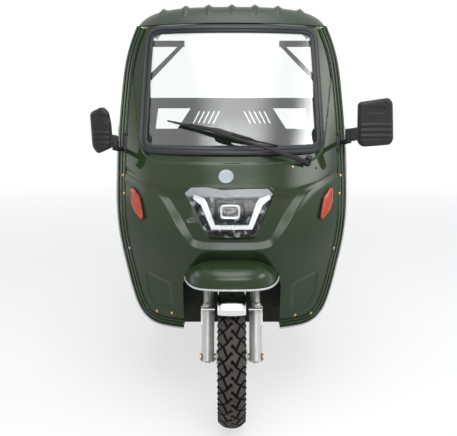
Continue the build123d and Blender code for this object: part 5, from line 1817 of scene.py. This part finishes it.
def seat_pad(name, node, base, axes, half, thick, cross_seams):
    """One pad: inflated, sewn, fitted to its space and edged with piping."""
    mesh = inflated(pad_start(half, thick, PAD_CORNER, PAD_CROWN), PAD_CROWN)
    points = mesh_points(mesh)
    for axis, room in ((0, half[0] - 0.001), (1, half[1] - 0.001)):
        points[:, axis] *= min(1.0, room / np.abs(points[:, axis]).max())
    points[:, 2] = 0.0004 + (points[:, 2] - points[:, 2].min())
    points[:, 2] *= (thick - 0.0008) / points[:, 2].max()
    top = eased((points[:, 2] / thick - 0.55) / 0.25)
    fade = eased((half[1] - np.abs(points[:, 1])) / 0.030)
    sunk = np.zeros(len(points))
    for line in SEAMS:
        sunk = np.maximum(sunk, np.exp(-((points[:, 0] - line) / SEAM_WIDTH) ** 2) * fade)
    for line in cross_seams:
        sunk = np.maximum(sunk, np.exp(-((points[:, 1] - line) / CROSS_SEAM_WIDTH) ** 2))
    points[:, 2] -= SEAM_DEPTH * sunk * top
    axes = np.array(axes, float)
    faces = [tuple(face.vertices) for face in mesh.polygons]
    pad = add_piece(name, points @ axes + np.array(base), faces, seat_black, "root", "seat_vinyl",
                    sharp_deg=80)
    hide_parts(node)
    edge = np.array(half) - 0.011
    loop = rounded_loop([edge * corner for corner in ((1, 1), (1, -1), (-1, -1), (-1, 1))], 0.022, 0.008)
    upper = points[points[:, 2] > 0.5 * thick]
    high = [upper[np.argsort(np.hypot(*(upper[:, :2] - spot).T))[:12], 2].max() for spot in loop]
    high = np.convolve(np.r_[high[-3:], high, high[:3]], np.ones(7) / 7, "valid")
    path = np.stack([loop[:, 0], loop[:, 1], np.minimum(high, thick - 0.0035) - 0.001], 1)
    cord_points, cord_faces = swept(path, round_section(0.0032, 8), up=(0.0, 0.0, 1.0), closed=True)
    add_piece(name + "_piping", cord_points @ axes + np.array(base), cord_faces, black_plastic, "root",
              "seat_vinyl")


def space_of(node):
    """The middle of a node's box and half its size."""
    low, high = (np.array(corner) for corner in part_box(node))
    return (low + high) / 2, (high - low) / 2


middle, half = space_of("seat_cushion")
seat_pad("seat_cushion_cover", "seat_cushion", (0.0, middle[1], middle[2] - half[2]),
         [(1, 0, 0), (0, 1, 0), (0, 0, 1)], (half[0], half[1]), 2 * half[2], (-0.105, 0.105))
middle, half = space_of("seat_backrest")
seat_pad("seat_backrest_cover", "seat_backrest", (0.0, middle[1] + half[1], middle[2]),
         [(1, 0, 0), (0, 0, 1), (0, -1, 0)], (half[0], half[2]), 2 * half[1], ())

# ---------------------------------------------------------------- seat box, floor and pedals
# The box is folded sheet with pressed louvres and a lock. The floor has a ribbed rubber mat,
# and the pedal and the parking brake have moulded rubber on them.

box_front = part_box("seat_box")[0][1]
LOUVRE_X, LOUVRE_Z, LOUVRE_PITCH = 0.185, 0.385, 0.028
louvres = []
for row in range(5):
    for side in (-1.0, 1.0):
        path = [(side * LOUVRE_X + along, box_front - out, LOUVRE_Z + row * LOUVRE_PITCH)
                for along, out in ((-0.075, 0.0), (-0.066, 0.004), (0.066, 0.004), (0.075, 0.0))]
        louvres.append(swept(np.array(path), soft_box_section(0.009, 0.012, 0.004)))
louvres.append(swept(np.array([(x, box_front - 0.001, 0.335) for x in (-0.36, 0.36)]),
                     soft_box_section(0.006, 0.016, 0.002)))
add_piece("seat_box_louvres", *joined(*louvres), inner_green, "root", "body_paint", sharp_deg=40)
lock_form = [(0.0, 0.0), (0.0, 0.0125), (0.003, 0.0125), (0.004, 0.0110), (0.0042, 0.0045),
             (0.0020, 0.0040), (0.0020, 0.0)]
add_piece("seat_box_lock", *turned(lock_form, (0.0, box_front, 0.520), (0.0, -1.0, 0.0), 24),
          bright_chrome, "root", "chrome_steel", sharp_deg=40)

mat_rows = []
rib_across = np.linspace(-1.0, 1.0, 221)
for y in np.linspace(-0.938, box_front - 0.012, 12):
    half = min(0.412, 0.288 + (y + 0.955) * (0.130 / 0.320))
    ribs = 0.0022 * (np.mod(rib_across * half / 0.011, 1.0) < 0.5) * (np.abs(rib_across) < 0.96)
    mat_rows.append(np.stack([rib_across * half, np.full(221, y), 0.3182 + ribs], 1))
add_piece("floor_mat", *sheet(np.array(mat_rows), 0.0026), seal_rubber, "root", "seal_rubber",
          sharp_deg=30)

pad_face, tread_low, tread_pitch = -0.857, 0.3835, 0.0098
treads = [block((0.108, pad_face, 0.378), (0.182, pad_face + 0.004, 0.442), 0.0015)]
for row in range(6):
    z = tread_low + row * tread_pitch
    treads.append(block((0.113, pad_face + 0.003, z), (0.177, pad_face + 0.0065, z + 0.0048), 0.001))
add_piece("brake_pedal_pad", *joined(*treads), seal_rubber, "root", "seal_rubber", sharp_deg=40)

lever_foot, lever_head = np.array([-0.250, -0.550, 0.327]), np.array([-0.250, -0.660, 0.520])
grip_form = [(-0.092, 0.0092), (-0.092, 0.0125)]
for rib in range(10):
    start = -0.088 + 0.008 * rib
    grip_form += [(start, 0.0135), (start + 0.003, 0.0135), (start + 0.004, 0.0123),
                  (start + 0.007, 0.0123)]
grip_form += [(-0.004, 0.0125), (0.0, 0.0080), (0.0, 0.0045), (0.006, 0.0042), (0.007, 0.0)]
add_piece("parking_brake_grip", *turned(grip_form, lever_head, lever_head - lever_foot, 24), seal_rubber,
          "root", "grip_rubber", sharp_deg=40)
quadrant = [block((x, -0.612, 0.328), (x + 0.002, -0.520, 0.372), 0.0) for x in (-0.2625, -0.2395)]
quadrant.append(turned([(-0.016, 0.0), (-0.016, 0.007), (0.016, 0.007), (0.016, 0.0)],
                       (-0.250, -0.553, 0.345), (1, 0, 0), 12))
add_piece("parking_brake_quadrant", *joined(*quadrant), zinc_plate, "root", "steel", sharp_deg=40)

# ---------------------------------------------------------------- dashboard edge
# The shelf behind the nose has a soft black edge trim, pressed on, and the moulded rims of
# two shallow trays for small things.

shelf_line = np.stack([np.linspace(-0.334, 0.334, 50), np.full(50, 0.9925)], 1)
shelf = [swept(on_plain_nose(shelf_line, 0.108), soft_box_section(0.012, 0.021, 0.005))]
for side in (-1.0, 1.0):
    tray = rounded_loop([(side * 0.205 + along, back) for along, back in
                         ((0.085, 0.040), (0.085, -0.030), (-0.085, -0.030), (-0.085, 0.040))],
                        0.014, 0.008)
    rim = np.stack([tray[:, 0], nose_y(tray[:, 0], np.full(len(tray), 1.0)) + 0.060 - tray[:, 1],
                    np.full(len(tray), 1.0025)], 1)
    shelf.append(swept(rim, soft_box_section(0.004, 0.007, 0.0015), closed=True))
add_piece("dashboard_trim", *joined(*shelf), black_plastic, "root", "black_plastic", sharp_deg=40)

# ---------------------------------------------------------------- handlebar fittings
# Ribbed rubber grips, alloy brake levers in clamped perches, switch pods beside the grips and
# a hooded display on a clamp. The handlebar itself is bent chromed tube.

BAR_RADIUS = 0.011
bar_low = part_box("handlebar")[0]
BAR_MIDDLE = np.array([0.0, bar_low[1] + BAR_RADIUS, bar_low[2] + BAR_RADIUS])
POD_FROM_END, PERCH_FROM_END, GRIP_RIBS, GRIP_RIB_PITCH = 0.124, 0.158, 16, 0.006
grips, levers, perches, pods, buttons = [], [], [], [], []
for side in (-1.0, 1.0):
    way = unit(np.array([side * 0.140, 0.050, 0.0]))
    ahead = unit(np.array([side * 0.050, -0.140, 0.0]))
    end = BAR_MIDDLE + np.array([side * 0.330, 0.110, 0.010])
    form = [(-0.110, 0.0112), (-0.110, 0.0200), (-0.107, 0.0205), (-0.104, 0.0170)]
    for rib in range(GRIP_RIBS):
        start = -0.101 + GRIP_RIB_PITCH * rib
        form += [(start, 0.0152), (start + 0.0012, 0.0163), (start + 0.0032, 0.0163),
                 (start + 0.0044, 0.0152)]
    form += [(-0.003, 0.0175), (0.0, 0.0165), (0.0, 0.0)]
    grips.append(turned(form, end, way, 28))
    clamp = end - way * POD_FROM_END
    pods.append(swept(np.array([clamp + way * along for along in (-0.022, -0.021, 0.011, 0.012)]),
                      soft_box_section(0.038, 0.034, 0.010), widths=[0.9, 1.0, 1.0, 0.9]))
    for z in (0.009, -0.001, -0.010):
        spot = clamp - way * 0.006 - ahead * 0.0185 + np.array([0.0, 0.0, z])
        buttons.append(turned([(0.0, 0.0), (0.0, 0.0042), (0.0030, 0.0038), (0.0034, 0.0)],
                              spot, -ahead, 12))
    perch = end - way * PERCH_FROM_END
    perches.append(turned([(-0.010, 0.0112), (-0.010, 0.0165), (-0.008, 0.0180), (0.008, 0.0180),
                           (0.010, 0.0165), (0.010, 0.0112)], perch, way, 24, closed=True))
    perches.append(swept(np.array([perch + ahead * a + way * w for a, w in
                                   ((0.012, 0.0), (0.034, 0.010), (0.046, 0.022))]),
                         soft_box_section(0.020, 0.012, 0.004)))
    bend = smooth_line(np.array([perch + ahead * a + way * w for a, w in
                                 ((0.040, 0.014), (0.052, 0.045), (0.050, 0.100), (0.044, 0.140),
                                  (0.047, 0.152))]), count=24)
    levers.append(swept(bend, soft_box_section(0.0125, 0.0070, 0.003),
                        widths=np.linspace(1.2, 0.75, 24)))
    levers.append(turned([(0.0, 0.0), (0.002, 0.0045), (0.006, 0.0062), (0.011, 0.0045), (0.0125, 0.0)],
                         bend[-1] - way * 0.004, way, 16))
bar_clamp = block((-0.030, -0.017, -0.018), (0.030, 0.017, 0.018), 0.004, centre=BAR_MIDDLE)
grip_piece = add_piece("handlebar_grips_ribbed", *joined(*grips), seal_rubber, "steering", "grip_rubber",
                       sharp_deg=35)
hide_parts("handlebar_grips")
add_piece("brake_levers", *joined(*levers), zinc_plate, "steering", "steel", sharp_deg=45)
add_piece("lever_perches", *joined(*perches), black_plastic, "steering", "black_plastic", sharp_deg=40)
add_piece("switch_pods", *joined(*pods, bar_clamp), black_plastic, "steering", "black_plastic",
          sharp_deg=40)
add_piece("switch_buttons", *joined(*buttons), red_lens, "steering", "red_lens", sharp_deg=40)

display_middle = space_of("instrument_display")[0]
display_edge = rounded_loop([(0.074, 0.029), (0.074, -0.029), (-0.074, -0.029), (-0.074, 0.029)],
                            0.014, 0.006)


def display_layer(wide, deep, z):
    """The outline of the display at one height."""
    return np.column_stack([display_edge * (wide, deep), np.full(len(display_edge), z)]) + display_middle


case_rows = ((0.90, -0.0195), (0.98, -0.012), (1.0, 0.004), (1.0, 0.014), (0.985, 0.0185),
             (0.93, 0.0195), (0.90, 0.0165))
case = add_piece("display_case", *skinned([display_layer(shrink, 1 - 1.6 * (1 - shrink), z)
                                           for shrink, z in case_rows]),
                 black_plastic, "steering", "black_plastic", sharp_deg=40)
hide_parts("instrument_display")
add_piece("display_screen", *skinned([display_layer(0.895, 0.83, z) for z in (0.0155, 0.0172)]),
          dark_glass, "steering", "black_plastic")

# ---------------------------------------------------------------- load bed edges and hooks
# The walls are pressed sheet with a tube rolled into every top edge. Bent rod hooks for rope
# are welded along the sides, and a bright tube edges the headboard.

BED_HALF, _, WALL_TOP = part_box("tailgate")[1]
BED_REAR, HOOK_FIRST, HOOK_PITCH = 1.500, 0.110, 0.256


def rolled_rim(ends, radius):
    """A straight tube whose last few millimetres are drawn in at both ends."""
    return swept(np.array(ends, float), round_section(radius, 16), widths=[0.8, 1, 1, 0.8])


rims, hooks = [], []
for side in (-1.0, 1.0):
    rims.append(rolled_rim([(side * (BED_HALF - 0.015), y, WALL_TOP)
                            for y in (0.004, 0.008, BED_REAR - 0.006, BED_REAR - 0.002)], 0.0175))
    for k in range(6):
        bend = [(side * out, HOOK_FIRST + k * HOOK_PITCH, z) for out, z in
                ((0.4985, 0.668), (0.510, 0.664), (0.5155, 0.650), (0.514, 0.634), (0.520, 0.624))]
        hooks.append(swept(smooth_line(np.array(bend), count=14), round_section(0.0045, 10),
                           up=(0.0, 1.0, 0.0)))
    for y in (0.014, BED_REAR - 0.014):
        hooks.append(block((side * 0.5 - 0.003, y - 0.013, 0.625),
                           (side * 0.5 + 0.003, y + 0.013, WALL_TOP - 0.02), 0.0015))
add_piece("bed_top_rims", *joined(*rims), bed_green, "root", "bed_paint", sharp_deg=50)
add_piece("bed_hooks_and_corners", *joined(*hooks), bed_green, "root", "bed_paint", sharp_deg=50)
gate_rim = rolled_rim([(x, 1.523, WALL_TOP) for x in (-0.499, -0.495, 0.495, 0.499)], 0.0148)
add_piece("tailgate_top_rim", *gate_rim, bed_green, "tailgate", "bed_paint", sharp_deg=50)

board_half, board_top, board_corner = 0.448, 1.036, 0.058
edge = [(-board_half, 0.925)]
for turn in np.radians(np.linspace(180.0, 90.0, 10)):
    edge.append((-board_half + board_corner + board_corner * math.cos(turn),
                 board_top - board_corner + board_corner * math.sin(turn)))
edge = with_right_half(edge)
add_piece("headboard_rim", *swept(np.array([(x, 0.015, z) for x, z in edge]), round_section(0.0165, 14),
                                  up=(0.0, 1.0, 0.0)),
          silver_paint, "root", "bed_paint", sharp_deg=50)

# ---------------------------------------------------------------- tail lamps
# Each lamp is a black tray with three ribbed lenses, red outside, amber next and clear
# inside, held by two screws through the tray.

(_, lamp_back, lamp_bottom), (_, lamp_face, lamp_top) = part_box("tail_lamps")


def ribbed_lens(x0, x1, z0, z1, y0):
    """A lens with upright prism ribs and rounded edges."""
    u, v = np.meshgrid(np.linspace(0.0, 1.0, 49), np.linspace(0.0, 1.0, 13))
    edge = np.minimum(np.minimum(u, 1 - u) * (x1 - x0), np.minimum(v, 1 - v) * (z1 - z0))
    ribs = 0.0009 * np.abs(np.mod(u * 12, 1.0) - 0.5) * (edge > 0.004)
    face = 0.0105 * eased(edge / 0.006) + ribs
    return sheet(np.stack([x0 + u * (x1 - x0), y0 + face, z0 + v * (z1 - z0)], 2), 0.002)


clear_lens = coated("clear_tail_lens", (0.62, 0.63, 0.64), (0.52, 0.53, 0.54), smooth=0.1, rough=0.3,
                    coat=0.8, dust_amount=0.1)
trays, lenses = [], {"red": [], "amber": [], "clear": []}
for side in (-1.0, 1.0):
    x0, x1 = sorted((side * 0.373, side * 0.491))
    trays.append(block((x0, lamp_back, lamp_bottom + 0.001), (x1, lamp_face - 0.012, lamp_top - 0.001),
                       0.005))
    for screw_x in (side * 0.381, side * 0.483):
        trays.append(turned([(0.0, 0.0), (0.0, 0.0035), (0.0015, 0.0030), (0.0018, 0.0)],
                            (screw_x, lamp_face - 0.0125, lamp_top - 0.010), (0, 1, 0), 10))
    for kind, start, end in (("clear", 0.379, 0.407), ("amber", 0.409, 0.439), ("red", 0.441, 0.485)):
        x0, x1 = sorted((side * start, side * end))
        lenses[kind].append(ribbed_lens(x0, x1, lamp_bottom + 0.006, lamp_top - 0.016,
                                        lamp_face - 0.0125))
tray_piece = add_piece("tail_lamp_trays", *joined(*trays), black_plastic, "root", "black_plastic",
                       sharp_deg=40)
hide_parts("tail_lamps")
for kind, finish, slot in (("red", red_lens, "red_lens"), ("amber", amber_lens, "amber_lens"),
                           ("clear", clear_lens, "lamp_lens")):
    add_piece("tail_lamp_" + kind, *joined(*lenses[kind]), finish, "root", slot, sharp_deg=35)

# ---------------------------------------------------------------- axle, springs and motor
# Leaf packs are clamped to the axle by U-bolts, with clips round the leaves. The axle has a
# bolted cover behind, and the motor has a finned case with a wiring box on top.

SPRING_X, SPRING_EYE_Y, U_BOLT_HALF, COVER_BOLTS = 0.300, 0.400, 0.036, 10
steel_parts, black_parts = [], []
for side in (-1.0, 1.0):
    spring = np.array([side * SPRING_X, REAR_AXLE_Y, 0.0])
    for shift in (-0.031, 0.031):
        bend = [(shift, -U_BOLT_HALF, z) for z in (0.348, 0.300)]
        bend += [(shift, -U_BOLT_HALF * math.cos(t), WHEEL_RADIUS - U_BOLT_HALF * math.sin(t))
                 for t in np.linspace(0.0, math.pi, 12)]
        bend += [(shift, U_BOLT_HALF, z) for z in (0.300, 0.348)]
        steel_parts.append(swept(spring + bend, round_section(0.0050, 10), up=(1.0, 0.0, 0.0)))
        for y in (-U_BOLT_HALF, U_BOLT_HALF):
            steel_parts.append(hex_nut(spring + (shift, y, 0.330), (0, 0, 1), 0.017, 0.0, 0.009, 0.0052))
    black_parts.append(block(spring + (-0.042, -0.050, 0.3225), spring + (0.042, 0.050, 0.3300), 0.002))
    for y, low in ((-0.235, 0.3030), (0.235, 0.3030), (-0.140, 0.2950), (0.140, 0.2950)):
        black_parts.append(block(spring + (-0.029, y - 0.012, low), spring + (0.029, y + 0.012, 0.3255),
                                 0.0015))
    for y in (-SPRING_EYE_Y, SPRING_EYE_Y):
        eye, out = spring + (side * 0.025, y, 0.345), (side, 0, 0)
        steel_parts.append(hex_nut(eye, out, 0.022, 0.0, 0.011, 0.006))
        steel_parts.append(turned([(0.0, 0.0), (0.0, 0.0058), (0.015, 0.0058), (0.016, 0.0)],
                                  eye, out, 12))
axle_middle = np.array([0.0, REAR_AXLE_Y, WHEEL_RADIUS])
cover = [(0.060, 0.0), (0.060, 0.0740), (0.068, 0.0745), (0.071, 0.0720), (0.073, 0.0560),
         (0.088, 0.0430), (0.0965, 0.0230), (0.0980, 0.0)]
black_parts.append(turned(cover, axle_middle, (0, 1, 0), 40))
for z, x in circle(0.0645, COVER_BOLTS):
    steel_parts.append(hex_nut(axle_middle + (x, 0.071, z), (0, 1, 0), 0.011, 0.0, 0.0055, 0.0010))
add_piece("axle_bolts_and_nuts", *joined(*steel_parts), zinc_plate, "root", "steel", sharp_deg=35)
add_piece("axle_plates_and_cover", *joined(*black_parts), chassis_black, "root", "chassis_paint",
          sharp_deg=40)

motor_middle = space_of("drive_motor")[0]
FIN_COUNT, FIN_PITCH = 14, 0.009
form = [(-0.0945, 0.0), (-0.0945, 0.045), (-0.088, 0.060), (-0.082, 0.0740), (-0.064, 0.0750)]
for fin in range(FIN_COUNT):
    start = -0.062 + FIN_PITCH * fin
    form += [(start, 0.0730), (start + 0.0008, 0.0795), (start + 0.0034, 0.0795),
             (start + 0.0042, 0.0730)]
form += [(0.066, 0.0750), (0.082, 0.0740), (0.088, 0.060), (0.0945, 0.045), (0.0945, 0.0)]
motor_case = turned(form, motor_middle, (1, 0, 0), 56)
motor_box = block(motor_middle + (-0.045, -0.032, 0.066), motor_middle + (0.025, 0.030, 0.098), 0.004)
motor_piece = add_piece("drive_motor_finned", *joined(motor_case, motor_box), motor_grey, "root",
                        "motor_metal", sharp_deg=35)
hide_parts("drive_motor")

# ---------------------------------------------------------------- rear mudguard edges
# The rear mudguards are bent from black-painted steel sheet. A wire is rolled into each long
# edge to stiffen it.

guard_radius = 0.300
guard_edges = []
for side in (-1.0, 1.0):
    for rim_x in (-0.0645, 0.0645):
        arc = [(side * REAR_HALF_TRACK + rim_x, guard_radius * math.cos(t), guard_radius * math.sin(t))
               for t in np.radians(np.linspace(15.0, 165.0, 60))]
        guard_edges.append(swept(axle_middle + arc, round_section(0.0036, 8), up=(1.0, 0.0, 0.0)))
add_piece("rear_mudguard_edges", *joined(*guard_edges), chassis_black, "root", "chassis_paint")
